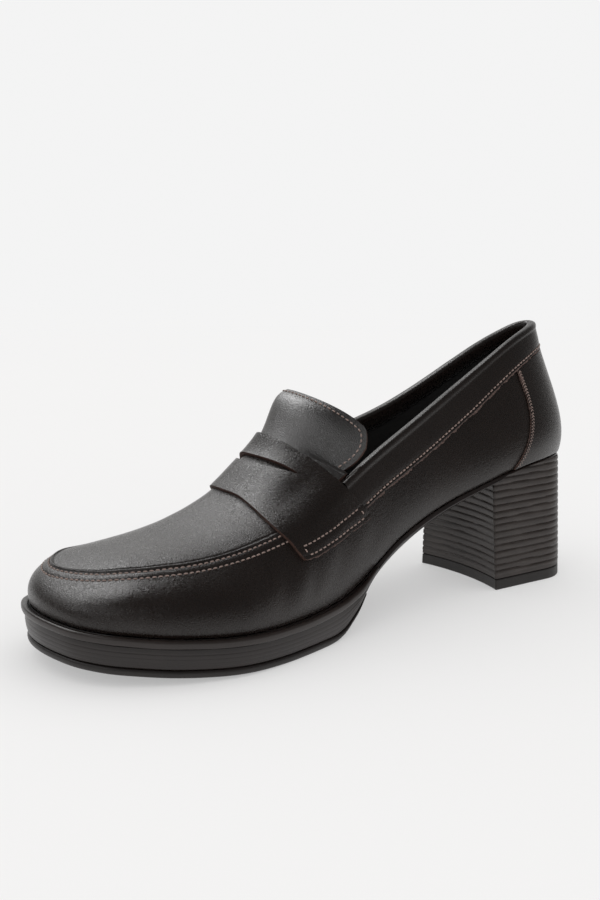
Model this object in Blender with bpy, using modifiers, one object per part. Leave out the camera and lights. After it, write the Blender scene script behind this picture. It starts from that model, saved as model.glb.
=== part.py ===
"""Loafer pump, one shoe, built around a last.

Local frame used by the tables, in millimetres:
  x  across the shoe, + on the outer (little toe) side
  s  along the shoe, 0 at the back of the heel, growing towards the toe
  z  up from the floor
World frame: metres, +Z up, toe towards -Y, outer side towards +X,
origin on the floor under the middle of the shoe's box.
"""
import bpy
import bmesh
import math
import numpy as np

# ------------------------------------------------------------------ sizes
MM = 0.001
S_MID = 122.46          # s of the world origin
X_MID = 6.05           # x of the world origin
WALL = 2.0             # leather and lining together
GAP = 0.3              # clearance between neighbouring pieces
STRAP_T = 1.3          # saddle strap leather
BAND_T = 0.8           # collar band and counter leather
LEDGE_FORE = 2.9       # rim beyond the feather line, forepart
LEDGE_BACK = 0.8       # the same at waist and heel
WELT_H = 2.7           # height of the rim strip
WELT_PROUD = 1.3       # rim beyond the platform wall
OUTSOLE_T = 2.6        # bottom layer
INSOLE_T = 2.0
LIFT_T = 4.5           # heel top-lift
HEEL_FRONT_S = 49.0    # breast plane at the floor
HEEL_HALF = 25.0       # half width of the heel at the floor
HEEL_TAPER = 0.061     # half width lost per mm of height
HEEL_BACK_S = 2.5
HEEL_BACK_LEAN = 0.019
HEEL_STRAIGHT_S = 20.5 # where the heel's round back starts
HEEL_POWER = 2.34
BREAST_HOLLOW = 3.2    # depth of the concave breast

# A row for each section of the last, toe tip to heel back.
# feather line: f_s, half widths f_out (outer side) and f_in (inner side)
# upper edge of the wall (apron seam, then topline): r_s, r_out, r_in, z_out, z_in
# wall shape: lean (degrees outward at the feather), end (degrees of rise at
# the upper edge), k0 and k1 (lengths of the two pulls, parts of the chord)
COLS = ("f_s", "f_out", "f_in", "r_s", "r_out", "r_in", "z_out", "z_in", "lean", "end", "k0", "k1")
SECTIONS = [
    (242.3, 2.0, -2.0, 232.8, -3.9, 3.9, 34.8, 34.8, 12, 34, 0.50, 0.40),
    (241.6, 10.0, 6.0, 229.8, 5.9, 12.7, 34.8, 35.3, 12, 34, 0.50, 0.40),
    (239.0, 20.0, 14.2, 224.1, 15.0, 17.7, 35.6, 35.7, 11, 34, 0.48, 0.40),
    (235.2, 26.8, 19.8, 219.0, 20.0, 19.2, 36.4, 35.6, 9, 34, 0.45, 0.40),
    (229.5, 32.8, 24.6, 213.0, 24.3, 20.3, 37.0, 35.5, 8, 33, 0.44, 0.40),
    (222.0, 37.5, 28.4, 206.0, 27.5, 21.6, 37.5, 35.7, 8, 33, 0.44, 0.40),
    (212.0, 42.7, 32.0, 199.0, 30.0, 23.0, 37.9, 35.7, 8, 33, 0.43, 0.40),
    (199.5, 46.8, 34.8, 190.0, 31.5, 24.2, 38.5, 36.2, 8, 34, 0.42, 0.40),
    (185.0, 48.8, 36.4, 180.0, 32.4, 25.2, 39.8, 37.2, 8, 36, 0.40, 0.40),
    (168.0, 46.5, 36.6, 168.0, 32.7, 26.0, 42.4, 39.6, 9, 40, 0.38, 0.38),
    (152.0, 42.3, 35.0, 155.0, 32.2, 26.4, 45.8, 43.6, 11, 48, 0.36, 0.36),
    (137.0, 37.5, 31.8, 142.0, 30.8, 26.2, 50.6, 49.2, 14, 60, 0.35, 0.34),
    (122.0, 33.2, 28.4, 129.0, 28.3, 24.8, 57.6, 55.8, 17, 72, 0.34, 0.32),
    (105.0, 29.4, 25.6, 112.0, 24.4, 21.8, 65.7, 63.0, 18, 79, 0.33, 0.30),
    (88.0, 27.0, 24.2, 95.0, 20.7, 19.0, 72.8, 69.4, 18, 80, 0.33, 0.30),
    (70.0, 26.2, 24.3, 76.0, 16.7, 16.5, 81.0, 76.4, 17, 80, 0.33, 0.30),
    (50.0, 26.5, 25.2, 55.0, 12.9, 13.0, 90.6, 87.3, 16, 80, 0.33, 0.30),
    (30.0, 25.2, 25.0, 36.0, 11.2, 11.0, 100.4, 97.2, 16, 80, 0.33, 0.30),
    (14.0, 19.8, 19.8, 23.0, 8.6, 9.0, 105.3, 103.2, 18, 81, 0.33, 0.30),
    (5.4, 11.5, 11.5, 15.0, 5.0, 5.0, 107.3, 107.1, 20, 82, 0.33, 0.30),
    (2.6, 0.0, 0.0, 11.5, 0.0, 0.0, 108.0, 108.0, 20, 82, 0.33, 0.30),
]
LAST = len(SECTIONS) - 1
LOOP = 2 * LAST
THROAT = 11.8          # section where the vamp stops under the strap

# Crest of the vamp and tongue for each section: c_s, c_x, c_z.
CREST = [
    (232.8, -3.9, 34.8), (229.6, -3.3, 35.7), (224.0, -1.8, 37.0), (218.6, -1.2, 38.0),
    (212.6, -2.4, 38.6), (206.0, -3.8, 39.3), (199.5, -5.0, 40.1), (191.5, -6.0, 41.4),
    (182.5, -6.8, 43.8), (172.5, -7.4, 47.5), (163.5, -7.8, 52.0), (155.5, -8.3, 58.0),
    (147.5, -9.0, 64.7), (142.0, -9.5, 70.8), (137.5, -10.5, 78.0),
    (132.8, -11.5, 84.9), (126.5, -12.5, 87.4),
]
# Side edges of the tongue for the sections past the throat: s, out, in, z_out, z_in
TONGUE_EDGE = [
    (128.6, 23.2, 21.5, 59.4, 61.0), (124.2, 25.0, 22.0, 63.2, 68.0),
    (120.2, 26.5, 22.5, 67.9, 75.0), (115.8, 26.6, 22.5, 73.9, 81.0),
]
TONGUE_FROM = 12.15
TONGUE_TO = 15.85

# Top of the sole under the feather line, and underside of the platform: s, z
SOLE_TOP = [(-5, 52.9), (5, 53.2), (15, 53.8), (30, 53.2), (45, 50.9), (60, 47.1),
            (75, 42.9), (90, 37.8), (105, 31.5), (112, 27.6), (120, 23.0), (130, 17.9), (140, 15.3),
            (150, 14.4), (165, 14.0), (180, 14.4), (200, 15.7), (215, 17.1), (230, 19.0),
            (238, 20.1), (245, 21.2), (252, 22.3)]
SOLE_LOW = [(-5, 50.3), (10, 50.5), (30, 50.0), (50, 46.5), (60, 43.3), (75, 38.2),
            (90, 32.3), (105, 25.0), (112, 21.0), (119, 16.4), (125, 11.4), (131, 6.0),
            (137, 1.7), (142, 0.3), (147, 0.0), (164, 0.0), (176, 0.29), (190, 0.97), (203, 1.92),
            (215, 3.06), (226, 4.33), (236, 5.66), (245, 7.0), (252, 8.1)]


# ------------------------------------------------------------ curve helpers
def spline(ts, vs, t):
    """Natural cubic spline through (ts, vs), read at t."""
    ts = np.asarray(ts, float)
    vs = np.asarray(vs, float)
    n = len(ts)
    h = np.diff(ts)
    a = np.zeros((n, n))
    b = np.zeros(n)
    a[0, 0] = a[-1, -1] = 1.0
    for i in range(1, n - 1):
        a[i, i - 1] = h[i - 1]
        a[i, i] = 2 * (h[i - 1] + h[i])
        a[i, i + 1] = h[i]
        b[i] = 6 * ((vs[i + 1] - vs[i]) / h[i] - (vs[i] - vs[i - 1]) / h[i - 1])
    m = np.linalg.solve(a, b)
    t = np.asarray(t, float)
    i = np.clip(np.searchsorted(ts, t) - 1, 0, n - 2)
    w = (t - ts[i]) / h[i]
    u = 1 - w
    return (u * vs[i] + w * vs[i + 1]
            + ((u ** 3 - u) * m[i] + (w ** 3 - w) * m[i + 1]) * h[i] ** 2 / 6)


def ring_spline_setup(vs):
    """Second derivatives of the closed cubic spline through vs at 0, 1, 2 ..."""
    n = len(vs)
    a = np.zeros((n, n))
    b = np.zeros(n)
    for i in range(n):
        a[i, (i - 1) % n] += 1
        a[i, i] += 4
        a[i, (i + 1) % n] += 1
        b[i] = 6 * (vs[(i + 1) % n] - 2 * vs[i] + vs[(i - 1) % n])
    return np.linalg.solve(a, b)


def ring_spline(vs, m, k):
    n = len(vs)
    i = np.floor(k).astype(int)
    w = k - i
    u = 1 - w
    i0 = i % n
    i1 = (i + 1) % n
    return u * vs[i0] + w * vs[i1] + ((u ** 3 - u) * m[i0] + (w ** 3 - w) * m[i1]) / 6


def table_fn(rows):
    s = np.array([r[0] for r in rows], float)
    z = np.array([r[1] for r in rows], float)
    h = np.diff(s)
    d = np.diff(z) / h
    g = np.zeros(len(s))
    for i in range(1, len(s) - 1):
        if d[i - 1] * d[i] > 0:
            w1, w2 = 2 * h[i] + h[i - 1], h[i] + 2 * h[i - 1]
            g[i] = (w1 + w2) / (w1 / d[i - 1] + w2 / d[i])
    g[0], g[-1] = d[0], d[-1]

    def f(q):
        q = np.clip(np.asarray(q, float), s[0], s[-1])
        i = np.clip(np.searchsorted(s, q) - 1, 0, len(s) - 2)
        t = (q - s[i]) / h[i]
        return ((2 * t ** 3 - 3 * t ** 2 + 1) * z[i] + (t ** 3 - 2 * t ** 2 + t) * h[i] * g[i]
                + (-2 * t ** 3 + 3 * t ** 2) * z[i + 1] + (t ** 3 - t ** 2) * h[i] * g[i + 1])
    return f


sole_top = table_fn(SOLE_TOP)
sole_low = table_fn(SOLE_LOW)


def smooth(a, b, q):
    t = np.clip((np.asarray(q, float) - a) / (b - a), 0, 1)
    return t * t * (3 - 2 * t)


def lerp(a, b, t):
    return a + (b - a) * t


# --------------------------------------------------------------- the last
def build_loops():
    """Closed loops k = 0..LOOP-1: toe, outer side, heel, inner side."""
    col = {c: i for i, c in enumerate(COLS)}
    out = {}
    order = [(r, 1) for r in range(LAST + 1)] + [(r, -1) for r in range(LAST - 1, 0, -1)]
    names = {"fs": ("f_s", "f_s"), "fx": ("f_out", "f_in"), "rs": ("r_s", "r_s"),
             "rx": ("r_out", "r_in"), "rz": ("z_out", "z_in"), "lean": ("lean", "lean"),
             "end": ("end", "end"), "k0": ("k0", "k0"), "k1": ("k1", "k1")}
    for n, (ci, co) in names.items():
        vals = []
        for r, side in order:
            v = float(SECTIONS[r][col[ci if side > 0 else co]])
            if n in ("fx", "rx"):
                v *= side
            vals.append(v)
        vals = np.array(vals)
        out[n] = (vals, ring_spline_setup(vals))
    return out


LOOPS = build_loops()


def read(name, k):
    v, m = LOOPS[name]
    return ring_spline(v, m, np.asarray(k, float))


def feather(k):
    """Feather line point and its outward normal in plan."""
    k = np.asarray(k, float)
    x, s = read("fx", k), read("fs", k)
    e = 0.02
    dx = read("fx", k + e) - read("fx", k - e)
    ds = read("fs", k + e) - read("fs", k - e)
    l = np.hypot(dx, ds)
    return x, s, -ds / l, dx / l


def rim_line(k):
    k = np.asarray(k, float)
    x, s, z = read("rx", k), read("rs", k), read("rz", k)
    e = 0.02
    dx = read("rx", k + e) - read("rx", k - e)
    ds = read("rs", k + e) - read("rs", k - e)
    l = np.hypot(dx, ds)
    return x, s, z, -ds / l, dx / l


def wall(k, v):
    """Outer surface of the wall: k round the shoe, v from feather to rim."""
    k, v = np.broadcast_arrays(np.asarray(k, float), np.asarray(v, float))
    fx, fs, fnx, fns = feather(k)
    rx, rs, rz, rnx, rns = rim_line(k)
    fz = sole_top(fs)
    p0 = np.stack([fx, fs, fz], -1)
    p3 = np.stack([rx, rs, rz], -1)
    chord = np.linalg.norm(p3 - p0, axis=-1)[..., None]
    lean = np.radians(read("lean", k))
    end = np.radians(read("end", k))
    p1 = p0 + read("k0", k)[..., None] * chord * np.stack(
        [np.sin(lean) * fnx, np.sin(lean) * fns, np.cos(lean)], -1)
    p2 = p3 - read("k1", k)[..., None] * chord * np.stack(
        [-np.cos(end) * rnx, -np.cos(end) * rns, np.sin(end)], -1)
    v = v[..., None]
    u = 1 - v
    return u ** 3 * p0 + 3 * u * u * v * p1 + 3 * u * v * v * p2 + v ** 3 * p3


CREST_A = np.array(CREST, float)
EDGE_A = np.array(TONGUE_EDGE, float)


def plug_edge(u, side):
    """Edge of the vamp's top surface: the rim, then the tongue's side edge."""
    u = np.asarray(u, float)
    rows = []
    for r in range(len(CREST)):
        if r <= 12:
            rows.append((float(SECTIONS[r][COLS.index("r_s")]),
                         float(SECTIONS[r][COLS.index("r_out" if side > 0 else "r_in")]) * side,
                         float(SECTIONS[r][COLS.index("z_out" if side > 0 else "z_in")])))
        else:
            e = TONGUE_EDGE[r - 13]
            rows.append((e[0], (e[1] if side > 0 else e[2]) * side, e[3] if side > 0 else e[4]))
    rows = np.array(rows)
    ts = np.arange(len(rows), dtype=float)
    past = np.stack([spline(ts, rows[:, 1], u), spline(ts, rows[:, 0], u),
                     spline(ts, rows[:, 2], u)], -1)
    k = u if side > 0 else LOOP - u
    rx, rs, rz, _, _ = rim_line(k)
    here = np.stack([rx, rs, rz], -1)
    w = smooth(11.9, 12.6, u)[..., None]
    return here * (1 - w) + past * w


def plug(u, w):
    """Top surface of vamp and tongue: u along the sections, w across,
    -1 at the inner edge, 0 at the crest, +1 at the outer edge."""
    u, w = np.broadcast_arrays(np.asarray(u, float), np.asarray(w, float))
    ts = np.arange(len(CREST), dtype=float)
    c = np.stack([spline(ts, CREST_A[:, 1], u), spline(ts, CREST_A[:, 0], u),
                  spline(ts, CREST_A[:, 2], u)], -1)
    ei = plug_edge(u, 1)
    eo = plug_edge(u, -1)
    across = ei - eo
    across[..., 2] = 0
    al = np.linalg.norm(across, axis=-1)[..., None]
    across = across / np.maximum(al, 1e-6)
    e = np.where((w >= 0)[..., None], ei, eo)
    sgn = np.where(w >= 0, 1.0, -1.0)[..., None]
    d = e - c
    ln = np.linalg.norm(d, axis=-1)[..., None]
    p1 = c + sgn * across * 0.46 * ln
    # the pull at the edge: down and out, steeper than the chord
    dn = d / np.maximum(ln, 1e-6)
    pull = dn + np.array([0, 0, -0.34])
    pull = pull / np.linalg.norm(pull, axis=-1)[..., None]
    p2 = e - pull * 0.30 * ln
    # close to the toe the arch flattens into the seam
    f = smooth(0.0, 3.5, u)[..., None]
    p1 = lerp(c + d * 0.38, p1, f)
    p2 = lerp(c + d * 0.70, p2, f)
    t = np.abs(w)[..., None]
    q = 1 - t
    return q ** 3 * c + 3 * q * q * t * p1 + 3 * q * t * t * p2 + t ** 3 * e


def normals(fn, a, b, ea=0.02, eb=0.01):
    """Unit normals of a two-parameter surface by differences."""
    pa = fn(a + ea, b) - fn(a - ea, b)
    pb = fn(a, b + eb) - fn(a, b - eb)
    n = np.cross(pa, pb)
    return n / np.maximum(np.linalg.norm(n, axis=-1)[..., None], 1e-9)


def to_world(p):
    p = np.asarray(p, float)
    return np.stack([(p[..., 0] - X_MID) * MM, (S_MID - p[..., 1]) * MM, p[..., 2] * MM], -1)


# ------------------------------------------------------------- mesh helpers
def material(name, color, rough, metallic=0.0):
    m = bpy.data.materials.new(name)
    m.use_nodes = True
    b = m.node_tree.nodes["Principled BSDF"]
    b.inputs["Base Color"].default_value = (*color, 1.0)
    b.inputs["Roughness"].default_value = rough
    b.inputs["Metallic"].default_value = metallic
    return m


def finish_mesh(name, bm, coll, mat, smooth_deg=40):
    bmesh.ops.remove_doubles(bm, verts=bm.verts, dist=1e-6)
    bmesh.ops.recalc_face_normals(bm, faces=bm.faces)
    me = bpy.data.meshes.new(name)
    bm.to_mesh(me)
    bm.free()
    me.shade_smooth()
    me.set_sharp_from_angle(angle=math.radians(smooth_deg))
    ob = bpy.data.objects.new(name, me)
    ob.data.materials.append(mat)
    coll.objects.link(ob)
    return ob


def add_grid(bm, pts, wrap=False):
    """Quads over a grid of points pts[i][j]."""
    w = to_world(pts)
    vs = [[bm.verts.new(w[i, j]) for j in range(w.shape[1])] for i in range(w.shape[0])]
    n = len(vs)
    for i in range(n if wrap else n - 1):
        a, b = vs[i], vs[(i + 1) % n]
        for j in range(len(a) - 1):
            try:
                bm.faces.new((a[j], b[j], b[j + 1], a[j + 1]))
            except ValueError:
                pass
    return vs


def stack(bm, rings, tip=True, hollow=None):
    """Solid from rings of equal length; each ring runs outer side first and
    then the inner side back, so that points face each other across the shoe:
    with a tip point i faces n - i, without one it faces n - 1 - i.
    hollow is the last point before a hollow front, which fans close."""
    w = [to_world(r) for r in rings]
    vs = [[bm.verts.new(p) for p in r] for r in w]
    n = len(vs[0])
    for a, b in zip(vs[:-1], vs[1:]):
        for i in range(n):
            j = (i + 1) % n
            bm.faces.new((a[i], a[j], b[j], b[i]))
    # caps: cross lines between facing points, a triangle at each tip
    for r, flip in ((vs[0], True), (vs[-1], False)):
        pairs = [(i, (n - i) % n) for i in range(n // 2 + 1)] if tip else [(i, n - 1 - i) for i in range(n // 2 + 1)]
        if hollow is not None:
            pairs = pairs[:hollow + 1]
            h = n // 2
            fans = [(r[hollow], r[h], r[n - hollow])]
            for i in range(hollow + 1, h):
                fans.append((r[hollow], r[i], r[i + 1]))
                fans.append((r[n - hollow], r[n - i - 1], r[n - i]))
            for f in fans:
                bm.faces.new(f[::-1] if flip else f)
        for (a0, b0), (a1, b1) in zip(pairs[:-1], pairs[1:]):
            f = []
            for q in (r[a0], r[a1], r[b1], r[b0]):
                if q not in f:
                    f.append(q)
            if len(f) > 2:
                bm.faces.new(f[::-1] if flip else f)
            if a1 >= b1:
                break
    return vs


def triangulate(bm):
    bmesh.ops.triangulate(bm, faces=[f for f in bm.faces if len(f.verts) > 3])


# ------------------------------------------------------------------- pieces
def make_upper(coll, mat):
    bm = bmesh.new()
    ks = np.arange(0, LOOP, 0.5)
    vs = np.array([0, 0.1, 0.24, 0.4, 0.56, 0.72, 0.86, 1.0])
    k, v = np.meshgrid(ks, vs, indexing="ij")
    add_grid(bm, wall(k, v), wrap=True)
    us = np.append(np.arange(0.5, THROAT - 0.2, 0.5), THROAT)
    ws = np.linspace(-1, 1, 13)
    u, w = np.meshgrid(us, ws, indexing="ij")
    pts = plug(u, w)
    # edges are the rim points themselves, so that the grids join
    pts[:, 0] = np.stack(rim_line(LOOP - us)[:3], -1)
    pts[:, -1] = np.stack(rim_line(us)[:3], -1)
    vsg = add_grid(bm, pts)
    toe = bm.verts.new(to_world(np.stack(rim_line(np.array([0.0]))[:3], -1))[0])
    for j in range(len(ws) - 1):
        bm.faces.new((toe, vsg[0][j], vsg[0][j + 1]))
    bmesh.ops.remove_doubles(bm, verts=bm.verts, dist=2e-5)
    bmesh.ops.recalc_face_normals(bm, faces=bm.faces)
    ob = finish_mesh("upper", bm, coll, mat)
    sol = ob.modifiers.new("wall", 'SOLIDIFY')
    sol.thickness = WALL * MM
    sol.offset = -1.0
    sol.use_even_offset = True
    sol.use_rim = True
    return ob


def sole_ring(ks, off, zfn):
    x, s, nx, ns = feather(ks)
    off = off(s) if callable(off) else off
    x2, s2 = x + off * nx, s + off * ns
    return np.stack([x2, s2, zfn(s2)], -1)


def fore(s):
    return smooth(112, 130, s)


def loop_ks(step=0.5):
    """Outer side from the heel to the toe, then the inner side back."""
    inner = np.arange(LAST, -1e-6, -step)
    outer = np.arange(LOOP - step, LAST + 1e-6, -step)
    return np.concatenate([inner, outer])


def out_t(s):
    return lerp(1.2, OUTSOLE_T, smooth(122, 150, s))


def mid_low(s):
    """Underside of the midsole: over the outsole, then the open waist."""
    s = np.asarray(s, float)
    return sole_low(s) + (out_t(s) + GAP) * smooth(113, 121, s)


def make_midsole(coll, mat):
    bm = bmesh.new()
    ks = loop_ks()
    rings = [
        sole_ring(ks, lambda s: lerp(-3.4, 0.9, fore(s)) * smooth(30, 60, s) + 0.2 * (1 - smooth(30, 60, s)), mid_low),
        sole_ring(ks, lambda s: lerp(-1.2, 1.35, fore(s)) * smooth(30, 60, s) + 0.6 * (1 - smooth(30, 60, s)),
                  lambda s: mid_low(s) + 0.22 * (sole_top(s) - mid_low(s)) * smooth(60, 130, s) + 0.5),
        sole_ring(ks, lambda s: lerp(LEDGE_BACK, LEDGE_FORE - WELT_PROUD, fore(s)),
                  lambda s: sole_top(s) - lerp(1.5, WELT_H + 2 * GAP + 0.2, fore(s))),
        sole_ring(ks, lambda s: lerp(LEDGE_BACK - 0.05, GAP, fore(s)),
                  lambda s: sole_top(s) - lerp(1.2, WELT_H + 2 * GAP, fore(s))),
        sole_ring(ks, lambda s: lerp(LEDGE_BACK - 0.3, GAP, fore(s)), lambda s: sole_top(s) - GAP),
    ]
    stack(bm, rings)
    return finish_mesh("midsole", bm, coll, mat)


def fore_ks(s_end, step=0.5):
    """Round the forepart only, from the outer waist by the toe to the inner waist."""
    ks = np.arange(0, LAST, 0.05)
    k_in = ks[np.argmin(np.abs(read("fs", ks) - s_end))]
    inner = np.arange(np.floor(k_in / step) * step, -1e-6, -step)
    inner = np.concatenate([[k_in], inner[inner < k_in - 0.1]])
    return np.concatenate([inner, (LOOP - inner[::-1])[1:]])


def make_outsole(coll, mat):
    bm = bmesh.new()
    ks = fore_ks(122.5)
    rings = [
        sole_ring(ks, 0.0, lambda s: sole_low(s)),
        sole_ring(ks, lambda s: lerp(0.3, 0.8, smooth(125, 150, s)), lambda s: sole_low(s) + 0.2 * out_t(s)),
        sole_ring(ks, lambda s: lerp(0.4, 1.3, smooth(125, 150, s)), lambda s: sole_low(s) + 0.55 * out_t(s)),
        sole_ring(ks, lambda s: lerp(0.3, 1.1, smooth(125, 150, s)), lambda s: sole_low(s) + out_t(s)),
    ]
    stack(bm, rings, tip=False)
    return finish_mesh("outsole", bm, coll, mat)


def make_welt(coll, mat):
    bm = bmesh.new()
    ks = fore_ks(120.0)
    x, s, nx, ns = feather(ks)
    f = fore(s)
    inner = 2 * GAP * f + (1 - f) * (LEDGE_BACK + GAP)
    outer = lerp(LEDGE_BACK + GAP + 0.7, LEDGE_FORE, f)
    top = -GAP
    low = -lerp(1.4, WELT_H + GAP, f)
    prof = [(0, 0), (0, 1), (0.62, 1), (0.92, 0.84), (1, 0.5), (0.92, 0.16), (0.62, 0)]
    grid = []
    for px, pz in prof:
        off = inner + (outer - inner) * px
        x2, s2 = x + off * nx, s + off * ns
        grid.append(np.stack([x2, s2, sole_top(s2) + low + (top - low) * pz], -1))
    w = to_world(np.array(grid))
    vs = [[bm.verts.new(w[i, j]) for j in range(w.shape[1])] for i in range(w.shape[0])]
    n = len(vs)
    for i in range(n):
        a, b = vs[i], vs[(i + 1) % n]
        for j in range(len(a) - 1):
            bm.faces.new((a[j], a[j + 1], b[j + 1], b[j]))
    bm.faces.new([vs[i][0] for i in range(n)])
    bm.faces.new([vs[i][-1] for i in range(n)][::-1])
    triangulate(bm)
    return finish_mesh("welt", bm, coll, mat)


def make_insole(coll, mat):
    bm = bmesh.new()
    ks = loop_ks()
    rings = [
        sole_ring(ks, -2.6, lambda s: sole_top(s) + 0.1),
        sole_ring(ks, -2.6, lambda s: sole_top(s) + INSOLE_T),
    ]
    stack(bm, rings)
    return finish_mesh("insole", bm, coll, mat)


def heel_ring(z, grow=0.0, n_back=9, n_front=7):
    """Plan of the heel at a height: round back, straight sides, hollow breast."""
    half = HEEL_HALF - HEEL_TAPER * z + grow
    back = HEEL_BACK_S + HEEL_BACK_LEAN * z - grow
    front = HEEL_FRONT_S + 0.016 * z
    t = np.linspace(0, math.pi / 2, n_back)
    qx = half * np.cos(t) ** (2 / HEEL_POWER)
    qs = HEEL_STRAIGHT_S - (HEEL_STRAIGHT_S - back) * np.sin(t) ** (2 / HEEL_POWER)
    # from the back centre to the inner front corner
    inner = [(x, s) for x, s in zip(qx[::-1], qs[::-1])]
    inner += [(half, lerp(HEEL_STRAIGHT_S, front, a)) for a in (0.5, 1.0)]
    b = np.linspace(1, 0, n_front)[1:]
    breast = [(half * c, front - BREAST_HOLLOW * (1 - c * c)) for c in b]
    one = inner + breast
    other = [(-x, s) for x, s in one[::-1][1:-1]]
    return np.array(one + other)


def make_heel(coll, mat, mat_lift):
    # ring order: back centre, inner side, breast centre, outer side
    def ring3(z_of, z_plan, grow=0.0):
        p = heel_ring(z_plan, grow)
        return np.stack([p[:, 0], p[:, 1], z_of(p[:, 1])], -1)

    bm = bmesh.new()
    rings = [ring3(lambda s: np.full_like(s, LIFT_T + GAP), LIFT_T)]
    for z in (12.0, 24.0, 36.0):
        rings.append(ring3(lambda s, z=z: np.full_like(s, z), z))
    rings.append(ring3(lambda s: mid_low(s) - GAP, 47.0))
    n = len(rings[0])
    stack(bm, rings, hollow=9)
    heel = finish_mesh("heel", bm, coll, mat, 30)
    bm = bmesh.new()
    rings = [ring3(lambda s: np.full_like(s, 0.0), 0.0, -0.3),
             ring3(lambda s: np.full_like(s, 0.4), 0.0),
             ring3(lambda s: np.full_like(s, LIFT_T), LIFT_T)]
    stack(bm, rings, hollow=9)
    lift = finish_mesh("heel_top_lift", bm, coll, mat_lift, 30)
    return heel, lift


def cross(u, q, v_in, v_out):
    """A line across the shoe on the upper's outer surface at section u.
    q runs 0..1 from v_in on the inner wall, over the top, to v_out outside."""
    u, q, v_in, v_out = np.broadcast_arrays(*[np.asarray(a, float) for a in (u, q, v_in, v_out)])
    a, b = 0.27, 0.73
    wi = np.clip(q / a, 0, 1)
    wo = np.clip((q - b) / (1 - b), 0, 1)
    inner = wall(u, lerp(v_in, 1.0, wi))
    outer = wall(LOOP - u, lerp(1.0, v_out, wo))
    over = plug(u, np.clip(1 - 2 * (q - a) / (b - a), -1, 1))
    q3 = q[..., None]
    return np.where(q3 < a, inner, np.where(q3 > b, outer, over))


# Saddle strap outline: place across (1 outer end, 0 crest, -1 inner end),
# section numbers of its front edge, its slot and its rear edge.
STRAP_FRONT = [
    (-1.0, 9.97), (-0.86, 10.0), (-0.6, 10.03), (-0.34, 10.04), (-0.12, 10.04), (0.0, 10.04),
    (0.049, 10.04), (0.089, 10.02), (0.128, 9.97), (0.183, 9.84), (0.235, 9.715), (0.294, 9.60),
    (0.349, 9.505), (0.401, 9.446), (0.46, 9.45), (0.633, 9.60), (0.93, 9.757), (1.0, 9.83),
]
STRAP_SLOT = [(-1.0, 11.0), (-0.6, 11.0), (-0.46, 11.2), (-0.32, 11.52), (0.0, 11.52), (0.3, 11.54),
              (0.46, 11.2), (0.6, 11.0), (1.0, 11.0)]
STRAP_REAR = [
    (-1.0, 12.28), (-0.86, 12.20), (-0.6, 11.99), (-0.44, 11.86), (-0.379, 11.93), (-0.327, 12.05),
    (-0.287, 12.166), (-0.258, 12.30), (-0.231, 12.58), (-0.191, 12.80), (-0.141, 12.956),
    (-0.093, 13.01), (0.0, 13.064), (0.043, 13.064), (0.093, 13.01), (0.141, 12.956), (0.191, 12.80),
    (0.231, 12.58), (0.258, 12.30), (0.287, 12.166), (0.327, 12.05), (0.379, 11.93), (0.44, 11.86),
    (0.6, 11.99), (0.86, 12.20), (1.0, 12.28),
]
STRAP_LOW = [(0.0, 0.612), (0.15, 0.603), (0.4, 0.612), (0.69, 0.600), (0.95, 0.546), (1.0, 0.54)]
SLOT_FROM, SLOT_TO = -0.322, 0.262  # ends of the slot, as places across
SLOT_W = 0.30                       # its greatest width, in sections

strap_front = table_fn(STRAP_FRONT)
strap_slot = table_fn(STRAP_SLOT)
strap_rear = table_fn(STRAP_REAR)


def strap_lines(c):
    """Front edge, the slot's two lips and the rear edge at a place across."""
    mid, half = (SLOT_FROM + SLOT_TO) / 2, (SLOT_TO - SLOT_FROM) / 2
    wide = np.clip(1 - ((c - mid) / half) ** 2, 0, 1)
    lip = strap_slot(c)
    return strap_front(c), lip - 0.012, lip + 0.022 + SLOT_W * wide, strap_rear(c)


def strap_surface(r, q):
    """Saddle strap: r 0 at the front edge, 1 at the rear edge, the slot
    between 0.49 and 0.51; q across, 0 at the outer end."""
    r, q = np.broadcast_arrays(np.asarray(r, float), np.asarray(q, float))
    c = 1 - 2 * q
    uf, l0, l1, ur = strap_lines(c)
    u = np.where(r < 0.49, lerp(uf, l0, r / 0.49),
                 np.where(r <= 0.51, lerp(l0, l1, (r - 0.49) / 0.02),
                          lerp(l1, ur, (r - 0.51) / 0.49)))
    share = (u - uf) / (ur - uf)
    v_low = np.interp(share, [t[0] for t in STRAP_LOW], [t[1] for t in STRAP_LOW])
    return cross(u, q, v_low, v_low)


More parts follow.
